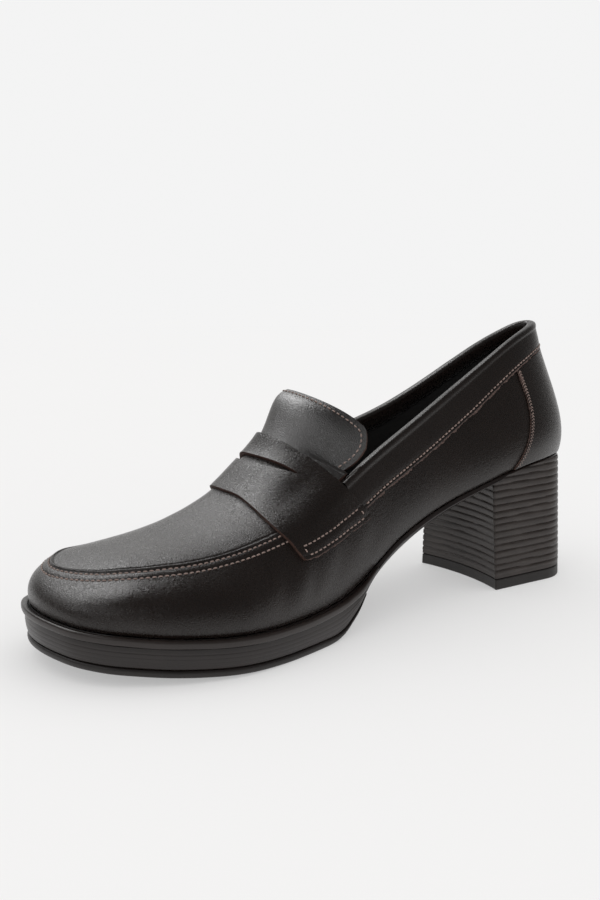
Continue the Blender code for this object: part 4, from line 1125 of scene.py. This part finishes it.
def build_strap(st):
    fa = np.concatenate([[0, 0.006, 0.018, 0.04], np.linspace(0.07, 0.44, 18), [0.462, 0.478, 0.486, 0.49]])
    ra = np.concatenate([[0.51, 0.514, 0.522, 0.538], np.linspace(0.56, 0.94, 18), [0.965, 0.985, 0.995, 1.0]])
    al = np.concatenate([fa, ra])
    q_a, q_b = (1 - SLOT_TO) / 2, (1 - SLOT_FROM) / 2
    ql = np.unique(np.round(np.concatenate([
        [0, 0.002, 0.006], np.linspace(0.012, 0.27, 46), np.linspace(0.27, q_a, 16),
        np.linspace(q_a, q_b, 60), np.linspace(q_b, 0.73, 16), np.linspace(0.73, 0.988, 46),
        [0.994, 0.998, 1.0]]), 6))
    cell = len(fa) - 1
    hole = [(cell, j) for j in range(len(ql) - 1) if q_a - 1e-5 <= ql[j] and ql[j + 1] <= q_b + 1e-5]
    ob = shell("saddle_strap_look", strap_skin, al, ql, 0.12, GAP + STRAP_T, [M_STRAP, M_EDGE],
               hole, bevel=0.34, relief=strap_relief)
    keep(ob, "strap_leather", "saddle_strap")

    def on_strap(r, q):
        r, q = np.broadcast_arrays(np.asarray(r, float), np.asarray(q, float))
        p = strap_skin(r, q)
        n = normals(strap_skin, r, q, 0.004, 0.004)
        mid = np.array([0, p[..., 1].mean(), 30.0])
        n = n * np.sign(np.sum(n * (p - mid), axis=-1))[..., None]
        return p + n * (GAP + STRAP_T + strap_relief(r, q, p) + 0.02)[..., None], n

    for mirror in (False, True):
        qs = lambda c: (1 - c) / 2 if not mirror else (1 + c) / 2
        r = np.linspace(0.015, 0.985, 90)
        p, n = on_strap(r, np.full_like(r, qs(0.997)))
        fray("strap_edge_" + ("far" if mirror else "near"), p - n * 0.62, n, 0.40, 61 + mirror, M_FRAY, "strap_leather", wobble=0.12, flat=1.1)
        for c0, seed in ((STRAP_ROWS[0], 31), (STRAP_ROWS[1], 32)):
            r = np.linspace(0.075, 0.925, 60)
            p, n = on_strap(r, np.full_like(r, qs(c0)))
            st.row(p, n, pitch=2.1, length=1.7, r=0.29, lift=0.20, seed=seed)
        for r0, seed in ((0.07, 33), (0.935, 34)):
            c = np.linspace(STRAP_ROWS[0] - 0.012, STRAP_ROWS[1] + 0.012, 14)
            p, n = on_strap(np.full_like(c, r0), qs(c))
            st.row(p, n, pitch=2.1, length=1.55, r=0.30, lift=0.22, seed=seed)


# ------------------------------------------------------------------- tongue
def tongue_skin(t, w):
    """Tongue surface, carried down to the throat at its sides."""
    t, w = np.broadcast_arrays(np.asarray(t, float), np.asarray(w, float))
    a = np.abs(w)
    u_top = TONGUE_TO + 0.16 * smooth(0.1, 0.8, a) - 0.75 * np.clip((a - 0.86) / 0.14, 0, 1) ** 2.2
    u_from = lerp(TONGUE_FROM, THROAT + 0.05, smooth(0.42, 0.62, a))
    return plug(u_from + (u_top - u_from) * t, w * lerp(0.93, 1.0, smooth(0.0, 0.3, t)))


def tongue_relief(a, b, p):
    tuck = (1 - smooth(0.10, 0.42, a)) * smooth(0.35, 0.7, np.abs(b))
    return wave(p, 41, 30, 0.06) + 0.75 * tuck


def build_tongue(st):
    tl = np.concatenate([np.linspace(0, 0.9, 56), np.linspace(0.91, 1.0, 14)])
    half = np.concatenate([[1.0, 0.995, 0.985, 0.97], np.linspace(0.95, 0.0, 40)])
    wl = np.concatenate([-half, half[::-1][1:]])
    ob = shell("tongue_look", tongue_skin, tl, wl, -WALL + 0.1, 0.0, [M_TONGUE, M_EDGE],
               bevel=0.4, relief=tongue_relief)
    keep(ob, "tongue_leather", "tongue")
    # one row of stitches all round the free edge
    inset = 2.0
    tt = np.linspace(0.12, 1.0, 160)
    ww = np.linspace(-1, 1, 200)
    T, Wd = np.meshgrid(tt, ww, indexing="ij")
    P = tongue_skin(T, Wd)
    path = []
    width = lambda t: np.linalg.norm(tongue_skin(t, 1.0) - tongue_skin(t, 0.5)) * 2
    length = 24.0
    wi = lambda t: 1 - inset / max(width(t), 1.0) * 1.15
    for t in np.linspace(0.12, 0.80, 40):
        path.append((t, -wi(t)))
    # rounded corner and the top edge
    for a in np.linspace(0, 1, 16)[1:]:
        th = a * math.pi / 2
        t0, w0 = 0.80, wi(0.8)
        path.append((t0 + (0.925 - t0) * math.sin(th), -(w0 - 0.13 * (1 - math.cos(th)))))
    wtop = wi(0.8) - 0.13
    for w in np.linspace(-wtop, wtop, 60)[1:-1]:
        path.append((0.925, w))
    for a in np.linspace(1, 0, 16):
        th = a * math.pi / 2
        t0, w0 = 0.80, wi(0.8)
        path.append((t0 + (0.925 - t0) * math.sin(th), (w0 - 0.13 * (1 - math.cos(th)))))
    for t in np.linspace(0.80, 0.12, 40)[1:]:
        path.append((t, wi(t)))
    path = np.array(path)
    p = tongue_skin(path[:, 0], path[:, 1])
    n = normals(tongue_skin, path[:, 0], path[:, 1], 0.004, 0.008)
    mid = np.array([0, p[:, 1].mean(), 30.0])
    n = n * np.sign(np.sum(n * (p - mid), axis=-1))[:, None]
    p = p + n * (tongue_relief(0, 0, p) + 0.03)[:, None]
    st.row(p, n, pitch=2.15, length=1.6, r=0.29, lift=0.20, seed=44)


# ------------------------------------------------------------------- collar
def build_band(st):
    base = np.concatenate([[12.2], np.arange(12.5, LOOP - 12.45, 0.1), [LOOP - 12.2]])
    d = band_depth(base)
    T = GAP + BAND_T - 0.1
    # distance below the edge, offset from the wall, lift over the edge
    prof = [(1.0, 0.10, 0), (1.0, 0.45, 0), (1.0, T - 0.12, 0), (0.985, T, 0), (0.95, T - 0.02, 0), (0.93, T - 0.14, 0),
            (0.905, T - 0.18, 0), (0.88, T - 0.12, 0), (0.84, T + 0.05, 0), (0.7, T + 0.16, 0), (0.55, T + 0.2, 0), (0.42, T + 0.16, 0),
            (0.30, T + 0.10, 0), (0.22, T + 0.02, 0), (0.185, T - 0.03, 0), (0.15, T + 0.04, 0), (0.11, T + 0.16, 0),
            (0.07, T + 0.24, 0), (0.035, T + 0.24, 0), (0.0, T + 0.12, 0.25), (0.0, T - 0.22, 0.68), (0.0, T - 0.78, 0.98),
            (0.0, -WALL / 2, 1.15), (0.0, -WALL + 0.2, 1.05), (0.0, -WALL - 0.45, 0.75), (0.0, -WALL - 0.85, 0.2),
            (0.08, -WALL - 0.95, 0), (0.2, -WALL - 0.9, 0), (0.35, -WALL - 0.7, 0), (0.5, -WALL - 0.35, 0), (0.52, -WALL + 0.1, 0)]
    rows = []
    for (f, off, lift) in prof:
        v = rim_depth(base, d * f) if f > 0 else np.full_like(base, 1.0)
        k = base.copy()
        k[0] = band_start(v[0]) - 0.085
        k[-1] = LOOP - band_start(v[-1]) + 0.085
        p = wall(k, v)
        n = wall_normal(k, v)
        tan = p - wall(k, v - 0.02)
        tan = tan / np.linalg.norm(tan, axis=-1)[..., None]
        ripple = wave(p, 51, 15, 0.05)
        rows.append(p + n * (off + ripple)[:, None] + tan * lift)
    R = np.array(rows).transpose(1, 0, 2)
    n, m = R.shape[:2]
    F = grid_faces(n, m, False, False, 0, False)
    M = np.tile(np.array([1, 1] + [0] * (m - 3)), n - 1)
    a, b2, c = R[60, 8], R[61, 8], R[61, 9]
    nn = np.cross(b2 - a, c - a)
    out = R[60, 8] - np.array([0, R[60, 8][1], 60])
    flip = np.dot(nn, out) < 0
    F = F[:, ::-1] if flip else F
    ob = mesh_object("collar_band_look", R.reshape(-1, 3), F, [M_BAND, M_EDGE], M)
    keep(ob, "binding_leather", "collar_binding")
    k = np.arange(12.28, LOOP - 12.28, 0.05)
    v = rim_depth(k, band_depth(k) * 1.005)
    nrm = wall_normal(k, v)
    fray("collar_band_edge", wall(k, v) + nrm * 0.42, nrm, 0.50, 53, M_FRAY, "binding_leather", wobble=0.42)
    v = rim_depth(k, band_depth(k) * 0.905)
    p = wall(k, v)
    nrm = wall_normal(k, v)
    p = p + nrm * (T - 0.10)
    st.row(p, nrm, pitch=2.1, length=1.65, r=0.31, lift=0.26, seed=52)


def fray(name, P, N, r, seed, mat, slot, wobble=0.3, flat=0.8):
    """A cut edge's loose fibres: an uneven cord of leather nap along a path."""
    P, N = np.asarray(P, float), np.asarray(N, float)
    d = np.concatenate([[0], np.cumsum(np.linalg.norm(np.diff(P, axis=0), axis=1))])
    t = np.arange(0, d[-1], 0.22)
    Q = np.stack([np.interp(t, d, P[:, c]) for c in range(3)], -1)
    M = np.stack([np.interp(t, d, N[:, c]) for c in range(3)], -1)
    T = np.gradient(Q, axis=0)
    T /= np.linalg.norm(T, axis=1)[:, None]
    M -= T * np.sum(M * T, 1)[:, None]
    M /= np.linalg.norm(M, axis=1)[:, None]
    S = np.cross(M, T)
    rng = np.random.default_rng(seed)
    low = np.interp(t, np.arange(0, d[-1] + 6, 3.0), rng.uniform(-1, 1, len(np.arange(0, d[-1] + 6, 3.0))))
    mid = np.interp(t, np.arange(0, d[-1] + 2, 0.9), rng.uniform(-1, 1, len(np.arange(0, d[-1] + 2, 0.9))))
    Q = Q + S * (wobble * (0.6 * low + 0.4 * mid))[:, None]
    rad = r * (1 + 0.22 * low + 0.25 * mid)
    sect = 10
    rings = []
    for j in range(sect):
        th = 2 * math.pi * j / sect
        nap = 1 + 0.28 * rng.uniform(-1, 1, len(t))
        rings.append(Q + S * (rad * nap * math.cos(th))[:, None] + M * (rad * nap * flat * math.sin(th))[:, None])
    R = np.array(rings).transpose(1, 0, 2)
    F = [list(f) for f in grid_faces(len(t), sect, False, True)]
    F += [list(range(sect))[::-1], [(len(t) - 1) * sect + j for j in range(sect)]]
    ob = mesh_object(name, R.reshape(-1, 3), F, [mat])
    bm = bmesh.new()
    bm.from_mesh(ob.data)
    bmesh.ops.recalc_face_normals(bm, faces=bm.faces)
    bm.to_mesh(ob.data)
    bm.free()
    ob.data.shade_smooth()
    keep(ob, slot)
    return ob


# ------------------------------------------------------------------ counter
def build_counter(st):
    al = np.unique(np.concatenate([[0, 0.004, 0.012], np.linspace(0.02, 0.98, 110), [0.988, 0.996, 1.0]]))
    bl = np.linspace(0, 1, 40)
    ob = shell("heel_counter_look", counter_surface, al, bl, 0.05, GAP + BAND_T - 0.25, [M_COUNTER, M_EDGE], bevel=0.3,
               relief=lambda a, b, p: wave(p, 61, 26, 0.08))
    keep(ob, "counter_leather", "heel_counter")
    b = np.linspace(0.02, 0.985, 120)
    for side, seed in ((0.0, 62), (1.0, 63)):
        for inset, sl, sd, pitch in ((0.006, 0.75, 0, 1.3), (0.013, -0.75, 7, 1.3), (0.026, 0.0, 11, 2.1)):
            a = np.full_like(b, inset if side == 0 else 1 - inset)
            p = counter_surface(a, b)
            n = normals(counter_surface, a, b, 0.004, 0.008)
            mid = np.array([0, p[:, 1].mean(), 70.0])
            n = n * np.sign(np.sum(n * (p - mid), axis=-1))[:, None]
            if sd == 0:
                fray("counter_seam_%s" % ("outer" if side == 0 else "inner"), p + n * 0.35, n, 0.68, seed + 5,
                     M_FRAY, "counter_leather", wobble=0.18, flat=0.75)
            if sd < 11:
                st.row(p + n * 0.66, n, pitch=pitch, length=1.5, r=0.22, lift=0.16, slant=sl, seed=seed + sd)


# --------------------------------------------------------------------- sole
def dense_loop(step=0.125):
    inner = np.arange(LAST, -1e-6, -step)
    outer = np.arange(LOOP - step, LAST + 1e-6, -step)
    return np.concatenate([inner, outer])


def cap_faces(n, base, tip, flip):
    pairs = [(i, (n - i) % n) for i in range(n // 2 + 1)] if tip else [(i, n - 1 - i) for i in range(n // 2 + 1)]
    F = []
    for (a0, b0), (a1, b1) in zip(pairs[:-1], pairs[1:]):
        f = []
        for q in (a0, a1, b1, b0):
            if q not in f:
                f.append(q)
        if len(f) > 2:
            F.append([base + x for x in (f[::-1] if flip else f)])
        if a1 >= b1:
            break
    return F


def split_cap(n, base, flip):
    """Cap of strips that run from the back to a hollow front."""
    h = n // 2
    F = []
    for mirrored in (False, True):
        for i in range(h // 2):
            f = []
            for j in (i, i + 1, h - i - 1, h - i):
                j = base + ((n - j) % n if mirrored else j)
                if j not in f:
                    f.append(j)
            F.append(f[::-1] if mirrored != flip else f)
    return F


def ring_solid(name, rings, mats, tip=True, hollow=False):
    R = np.array(rings)
    m, n = R.shape[:2]
    F = [list(f) for f in grid_faces(m, n, False, True)]
    if hollow:
        F += split_cap(n, 0, True) + split_cap(n, (m - 1) * n, False)
    else:
        F += cap_faces(n, 0, tip, True)
        F += cap_faces(n, (m - 1) * n, tip, False)
    ob = mesh_object(name, R.reshape(-1, 3), F, mats, merge=0.001)
    bm = bmesh.new()
    bm.from_mesh(ob.data)
    bmesh.ops.recalc_face_normals(bm, faces=bm.faces)
    bm.to_mesh(ob.data)
    bm.free()
    ob.data.shade_smooth()
    ob.data.set_sharp_from_angle(angle=math.radians(48))
    return ob


# mould lines of the platform wall: height share, depth, width share
WALL_LINES = [(0.16, 0.10, 0.022), (0.36, 0.07, 0.03), (0.56, 0.08, 0.03), (0.76, 0.07, 0.03)]


def seat_low(s):
    """Underside of the midsole; over the heel only a thin seat line is left."""
    return lerp(mid_low(s), sole_top(s) - 1.0, 1 - smooth(48.2, 49.6, s))


def build_sole():
    ks = dense_loop()
    rings = []
    lo_off = lambda s: lerp(-3.4, 0.9, fore(s)) * smooth(30, 60, s) + 0.2 * (1 - smooth(30, 60, s))
    up_off = lambda s: lerp(LEDGE_BACK, LEDGE_FORE - WELT_PROUD, fore(s))
    seat_gap = lambda s: lerp(lerp(0.75, 1.5, smooth(48.2, 49.6, s)), WELT_H + 2 * GAP + 0.2, fore(s))
    for f in np.concatenate([[0, 0.02, 0.05, 0.09], np.linspace(0.13, 0.92, 44), [0.95, 0.975, 1.0]]):
        def off(s, f=f):
            base = lerp(lo_off(s), up_off(s), 1 - (1 - f) ** 1.7)
            bulge = 0.35 * math.sin(math.pi * f) * fore(s)
            lines = sum(-d * math.exp(-((f - c) / w) ** 2) for c, d, w in WALL_LINES) * fore(s)
            edge = -0.4 * max(0.0, 1 - f / 0.09) ** 2
            return base + bulge + lines + edge
        rings.append(sole_ring(ks, off, lambda s, f=f: lerp(seat_low(s), sole_top(s) - seat_gap(s), f)))
    rings.append(sole_ring(ks, lambda s: lerp(LEDGE_BACK - 0.25, 0.5, fore(s)), lambda s: sole_top(s) - seat_gap(s) + 0.15 + 0.1 * fore(s)))
    rings.append(sole_ring(ks, lambda s: lerp(LEDGE_BACK - 0.35, 0.45, fore(s)), lambda s: sole_top(s) - lerp(0.45, 0.9, smooth(48.2, 49.6, s))))
    rings.append(sole_ring(ks, lambda s: lerp(LEDGE_BACK - 0.8, 0.1, fore(s)), lambda s: sole_top(s) - 0.3))
    ob = ring_solid("midsole_look", rings, [M_MID])
    keep(ob, "midsole_rubber", "midsole")

    ks = fore_ks(122.5, 0.125)
    rings = []
    prof = [(0.0, 0.0, -1.1), (0.03, 0.0, -0.55), (0.10, 0.0, -0.22), (0.2, 0.2, 0.02), (0.35, 0.35, 0.16), (0.5, 0.5, 0.22),
            (0.7, 0.7, 0.16), (0.85, 0.85, 0.02), (0.95, 0.95, -0.2), (1.0, 1.0, -0.5)]
    for (fz, fo, add) in prof:
        def off(s, fo=fo, add=add):
            return lo_off(s) + 0.2 + add
        rings.append(sole_ring(ks, off, lambda s, fz=fz: sole_low(s) + fz * (out_t(s) + 0.18)))
    ob = ring_solid("outsole_look", rings, [M_OUT], tip=False)
    keep(ob, "outsole_rubber", "outsole")

    # rim strip, rounded, fading out at the waist
    ks = fore_ks(118.0, 0.125)
    x, s, nx, ns = feather(ks)
    f = fore(s)
    inner = 0.35 * f + (1 - f) * (LEDGE_BACK - 0.2)
    outer = lerp(LEDGE_BACK + 0.35, LEDGE_FORE + 0.05, f)
    low = -lerp(1.0, WELT_H + GAP + 0.1, f)
    prof = [(0, -0.1), (0.0, 0.8), (0.10, 0.93), (0.25, 0.985), (0.45, 1.0), (0.65, 1.0), (0.8, 0.975), (0.9, 0.91), (0.965, 0.80), (0.995, 0.66),
            (1.0, 0.5), (0.99, 0.34), (0.955, 0.2), (0.89, 0.08), (0.78, 0.0), (0.6, -0.04), (0.4, -0.05)]
    rows = []
    for px, pz in prof:
        off = inner + (outer - inner) * px
        x2, s2 = x + off * nx, s + off * ns
        ripple = 0.05 * np.sin(s2 * 0.31) * (px > 0.3)
        rows.append(np.stack([x2, s2, sole_top(s2) + low + (-0.15 - low) * pz + ripple], -1))
    R = np.array(rows)
    m, n = R.shape[:2]
    F = [list(q) for q in grid_faces(m, n, True, False)]
    F.append([i * n for i in range(m)])
    F.append([i * n + n - 1 for i in range(m)][::-1])
    ob = mesh_object("welt_look", R.reshape(-1, 3), F, [M_WELT], merge=0.001)
    bm = bmesh.new()
    bm.from_mesh(ob.data)
    bmesh.ops.recalc_face_normals(bm, faces=bm.faces)
    bm.to_mesh(ob.data)
    bm.free()
    ob.data.shade_smooth()
    keep(ob, "welt_rubber", "welt")


# --------------------------------------------------------------------- heel
RIDGE_PITCH = 2.826
RIDGE_FIRST = 8.1
RIDGE_DEPTH = 0.34


def heel_plan(z, grow, n_back=60, n_side=14, n_front=44, corner=0.7):
    """Dense plan ring with its outward normals; corners slightly rounded."""
    half = HEEL_HALF - HEEL_TAPER * z
    back = HEEL_BACK_S + HEEL_BACK_LEAN * z
    front = HEEL_FRONT_S + 0.016 * z
    t = np.linspace(0, math.pi / 2, n_back)
    qx = half * np.cos(t) ** (2 / HEEL_POWER)
    qs = HEEL_STRAIGHT_S - (HEEL_STRAIGHT_S - back) * np.sin(t) ** (2 / HEEL_POWER)
    pts = [(x, s) for x, s in zip(qx[::-1], qs[::-1])]
    pts += [(half, lerp(HEEL_STRAIGHT_S, front - corner, a)) for a in np.linspace(0, 1, n_side + 1)[1:]]
    for a in np.linspace(0, math.pi / 2, 6)[1:]:
        pts.append((half - corner * (1 - math.cos(a)), front - corner + corner * math.sin(a) * 0.9))
    b = np.linspace((half - corner) / half, 0, n_front)[1:]
    pts += [(half * c, front - BREAST_HOLLOW * (1 - c * c) - 0.07) for c in b]
    one = np.array(pts)
    two = one[::-1][1:-1] * np.array([-1, 1])
    P = np.concatenate([one, two])
    tan = np.roll(P, -1, 0) - np.roll(P, 1, 0)
    nrm = np.stack([-tan[:, 1], tan[:, 0]], -1)
    nrm /= np.maximum(np.linalg.norm(nrm, axis=1), 1e-9)[:, None]
    c = P.mean(0)
    if np.sum(nrm * (P - c)) < 0:
        nrm = -nrm
    return P, nrm


def build_heel():
    levels = [LIFT_T + 0.02, LIFT_T + 0.20, LIFT_T + 0.42, LIFT_T + 0.9]
    z = LIFT_T + 1.6
    while z < 54.0:
        levels.append(z)
        z += RIDGE_PITCH / 9
    rings = []
    for z in levels:
        P, N = heel_plan(z, 0)
        ang = np.arctan2(P[:, 1] - 26, P[:, 0])
        wob = 0.10 * np.sin(ang * 3 + z * 0.35) + 0.06 * np.sin(ang * 7 + z * 0.9)
        ph = ((z + wob - RIDGE_FIRST) / RIDGE_PITCH) % 1.0
        dist = np.minimum(ph, 1 - ph) * RIDGE_PITCH
        groove = -RIDGE_DEPTH * np.exp(-(dist / 0.30) ** 2)
        ridge = 0.16 * np.sin(math.pi * ph) ** 0.7
        on = 1.0 if z > RIDGE_FIRST - 1.6 else 0.0
        top = seat_low(np.minimum(P[:, 1], 48.0)) - 0.06
        off = (groove + ridge) * on - (0.55 if z <= LIFT_T + 0.25 else 0.0)
        off = off * smooth(0, 0.8, top - z)
        Q = P + N * off[:, None]
        rings.append(np.stack([Q[:, 0], Q[:, 1], np.minimum(z, top)], -1))
    ob = ring_solid("heel_look", rings, [M_HEEL], hollow=True)
    ob.data.set_sharp_from_angle(angle=math.radians(60))
    keep(ob, "heel_stack", "heel")
    rings = []
    for z, off in ((0.0, -0.5), (0.05, -0.22), (0.25, -0.05), (0.6, 0.0), (2.0, 0.02), (3.6, 0.0), (4.2, 0.0), (4.42, -0.08), (4.5, -0.3)):
        P, N = heel_plan(z, 0)
        Q = P + N * off
        rings.append(np.stack([Q[:, 0], Q[:, 1], np.full(len(Q), z)], -1))
    ob = ring_solid("top_lift_look", rings, [M_LIFT], hollow=True)
    keep(ob, "top_lift_rubber", "heel_top_lift")


# ------------------------------------------------------------ build it all
stitches = Stitches()
build_upper()
build_apron_stitches(stitches)
build_strap(stitches)
build_tongue(stitches)
build_band(stitches)
build_counter(stitches)
stitches.done("stitching", M_THREAD, "upper_leather")
build_sole()
build_heel()
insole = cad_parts["insole"]
insole.data.materials.clear()
insole.data.materials.append(M_LINING)

# ------------------------------------------------------- camera and studio
FLOOR = 0.46
CAM_F, CAM_D, CAM_AZ, CAM_EL, CAM_TX, CAM_TY = 1275.0, 507.0, 55.66, 14.06, 18.4, 60.3
az, el = math.radians(CAM_AZ), math.radians(CAM_EL)
back = Vector((math.cos(el) * math.sin(az), -math.cos(el) * math.cos(az), math.sin(el)))
right = Vector((math.cos(az), math.sin(az), 0))
upv = Vector((-math.sin(el) * math.sin(az), math.sin(el) * math.cos(az), math.cos(el)))
target = Vector(((0 - X_MID) * MM, (S_MID - 122.5) * MM, 0.040))
cam_data = bpy.data.cameras.new("camera")
cam_data.sensor_fit = 'VERTICAL'
cam_data.sensor_height = 36.0
cam_data.sensor_width = 24.0
cam_data.lens = CAM_F * 36.0 / 900.0
cam_data.shift_x = -CAM_TX / 900.0
cam_data.shift_y = CAM_TY / 900.0
cam_data.clip_start, cam_data.clip_end = 0.01, 50
cam = bpy.data.objects.new("camera", cam_data)
bpy.context.scene.collection.objects.link(cam)
rot = Matrix((right, upv, back)).transposed()
cam.matrix_world = Matrix.Translation(target + back * (CAM_D * MM)) @ rot.to_4x4()
bpy.context.scene.camera = cam
bpy.context.scene.view_settings.view_transform = 'Standard'

# floor: pale, with a painted glow (emission) that lightens the shoe's shadows on it, fading into the backdrop far from
# the shoe
bpy.ops.mesh.primitive_circle_add(vertices=128, radius=3.0, fill_type='NGON', location=(0, 0, -0.0001))
floor = bpy.context.active_object
floor.name = "floor"
fm, fnt, fb = new_mat("floor_look")
ftc = fnt.nodes.new("ShaderNodeTexCoord").outputs["Object"]
fnt.links.new(ramp(fnt, noise(fnt, ftc, 3, 2), [(0.3, (FLOOR, FLOOR, FLOOR * 1.002)), (0.7, (FLOOR * 1.01, FLOOR * 1.01, FLOOR * 1.012))]),
              fb.inputs["Base Color"])
fb.inputs["Roughness"].default_value = 0.8
fb.inputs["Specular IOR Level"].default_value = 0.0
# painted light: the floor glows of its own, so the shadows on it stay pale
fb.inputs["Emission Color"].default_value = (1, 1, 1, 1)
fb.inputs["Emission Strength"].default_value = 0.385
far = fnt.nodes.new("ShaderNodeVectorMath")
far.operation = 'LENGTH'
fnt.links.new(ftc, far.inputs[0])
fnt.links.new(maprange(fnt, far.outputs["Value"], 0.50, 1.5, 1.0, 0.0), fb.inputs["Alpha"])
floor.data.materials.append(fm)

w = bpy.data.worlds.new("studio")
bpy.context.scene.world = w
w.use_nodes = True
wn = w.node_tree
wn.nodes.clear()


def wnode(kind, **inputs):
    n = wn.nodes.new(kind)
    for key, val in inputs.items():
        n.inputs[key.replace("_", " ")].default_value = val
    return n


out = wn.nodes.new("ShaderNodeOutputWorld")
lp = wn.nodes.new("ShaderNodeLightPath")
seen = wnode("ShaderNodeBackground", Strength=1.0, Color=(0.903, 0.903, 0.903, 1))
room = wnode("ShaderNodeBackground", Color=(1.0, 0.99, 0.98, 1))
geo = wn.nodes.new("ShaderNodeTexCoord")
sep = wn.nodes.new("ShaderNodeSeparateXYZ")
wn.links.new(geo.outputs["Generated"], sep.inputs[0])
near = wnode("ShaderNodeMapRange", From_Min=0.30, From_Max=0.80, To_Min=0.13, To_Max=0.06)
wn.links.new(sep.outputs["Z"], near.inputs["Value"])
behind = wnode("ShaderNodeMapRange", From_Min=0.3, From_Max=0.85, To_Min=0.92, To_Max=0.5)
wn.links.new(sep.outputs["Z"], behind.inputs["Value"])
dot = wn.nodes.new("ShaderNodeVectorMath")
dot.operation = 'DOT_PRODUCT'
dot.inputs[1].default_value = (-math.sin(az), math.cos(az), 0.0)
wn.links.new(geo.outputs["Generated"], dot.inputs[0])
side = wnode("ShaderNodeMapRange", From_Min=0.40, From_Max=0.88, To_Min=0.0, To_Max=1.0)
side.interpolation_type = 'SMOOTHSTEP'
wn.links.new(dot.outputs["Value"], side.inputs["Value"])
mixv = wn.nodes.new("ShaderNodeMix")
mixv.data_type = 'FLOAT'
wn.links.new(side.outputs[0], mixv.inputs[0])
wn.links.new(near.outputs[0], mixv.inputs[2])
wn.links.new(behind.outputs[0], mixv.inputs[3])
soft = wn.nodes.new("ShaderNodeMix")
soft.data_type = 'FLOAT'
wn.links.new(lp.outputs["Is Diffuse Ray"], soft.inputs[0])
wn.links.new(mixv.outputs[0], soft.inputs[2])
soft.inputs[3].default_value = 1.13
wn.links.new(soft.outputs[0], room.inputs["Strength"])
w.cycles.sampling_method = 'NONE'
mixs = wn.nodes.new("ShaderNodeMixShader")
wn.links.new(lp.outputs["Is Camera Ray"], mixs.inputs[0])
wn.links.new(room.outputs[0], mixs.inputs[1])
wn.links.new(seen.outputs[0], mixs.inputs[2])
wn.links.new(mixs.outputs[0], out.inputs["Surface"])


def box_light(name, place, aim, width, height, turn, radiance):
    """Rectangular softbox at a place, aimed at a point; turn is the direction
    of its width in plan, in degrees from +X."""
    d = bpy.data.lights.new(name, 'AREA')
    d.shape = 'RECTANGLE'
    d.size, d.size_y = width, height
    d.energy = radiance * math.pi * width * height
    o = bpy.data.objects.new(name, d)
    z = (Vector(place) - Vector(aim)).normalized()
    t = math.radians(turn)
    x = Vector((math.cos(t), math.sin(t), 0))
    x = (x - z * x.dot(z)).normalized()
    y = z.cross(x)
    o.matrix_world = Matrix.Translation(Vector(place)) @ Matrix((x, y, z)).transposed().to_4x4()
    bpy.context.scene.collection.objects.link(o)
    o.visible_diffuse = False
    return o


box_light("key_front", (-0.60, -1.38, 1.20), (0, 0, 0.05), 0.85, 0.55, -20, 3.6)
box_light("fill_front", (0.85, -1.62, 1.15), (0, 0, 0.08), 0.85, 0.55, 28, 2.4)
box_light("key_back", (-0.90, -0.16, 1.20), (0, 0, 0.04), 0.95, 0.60, 92, 6.6)
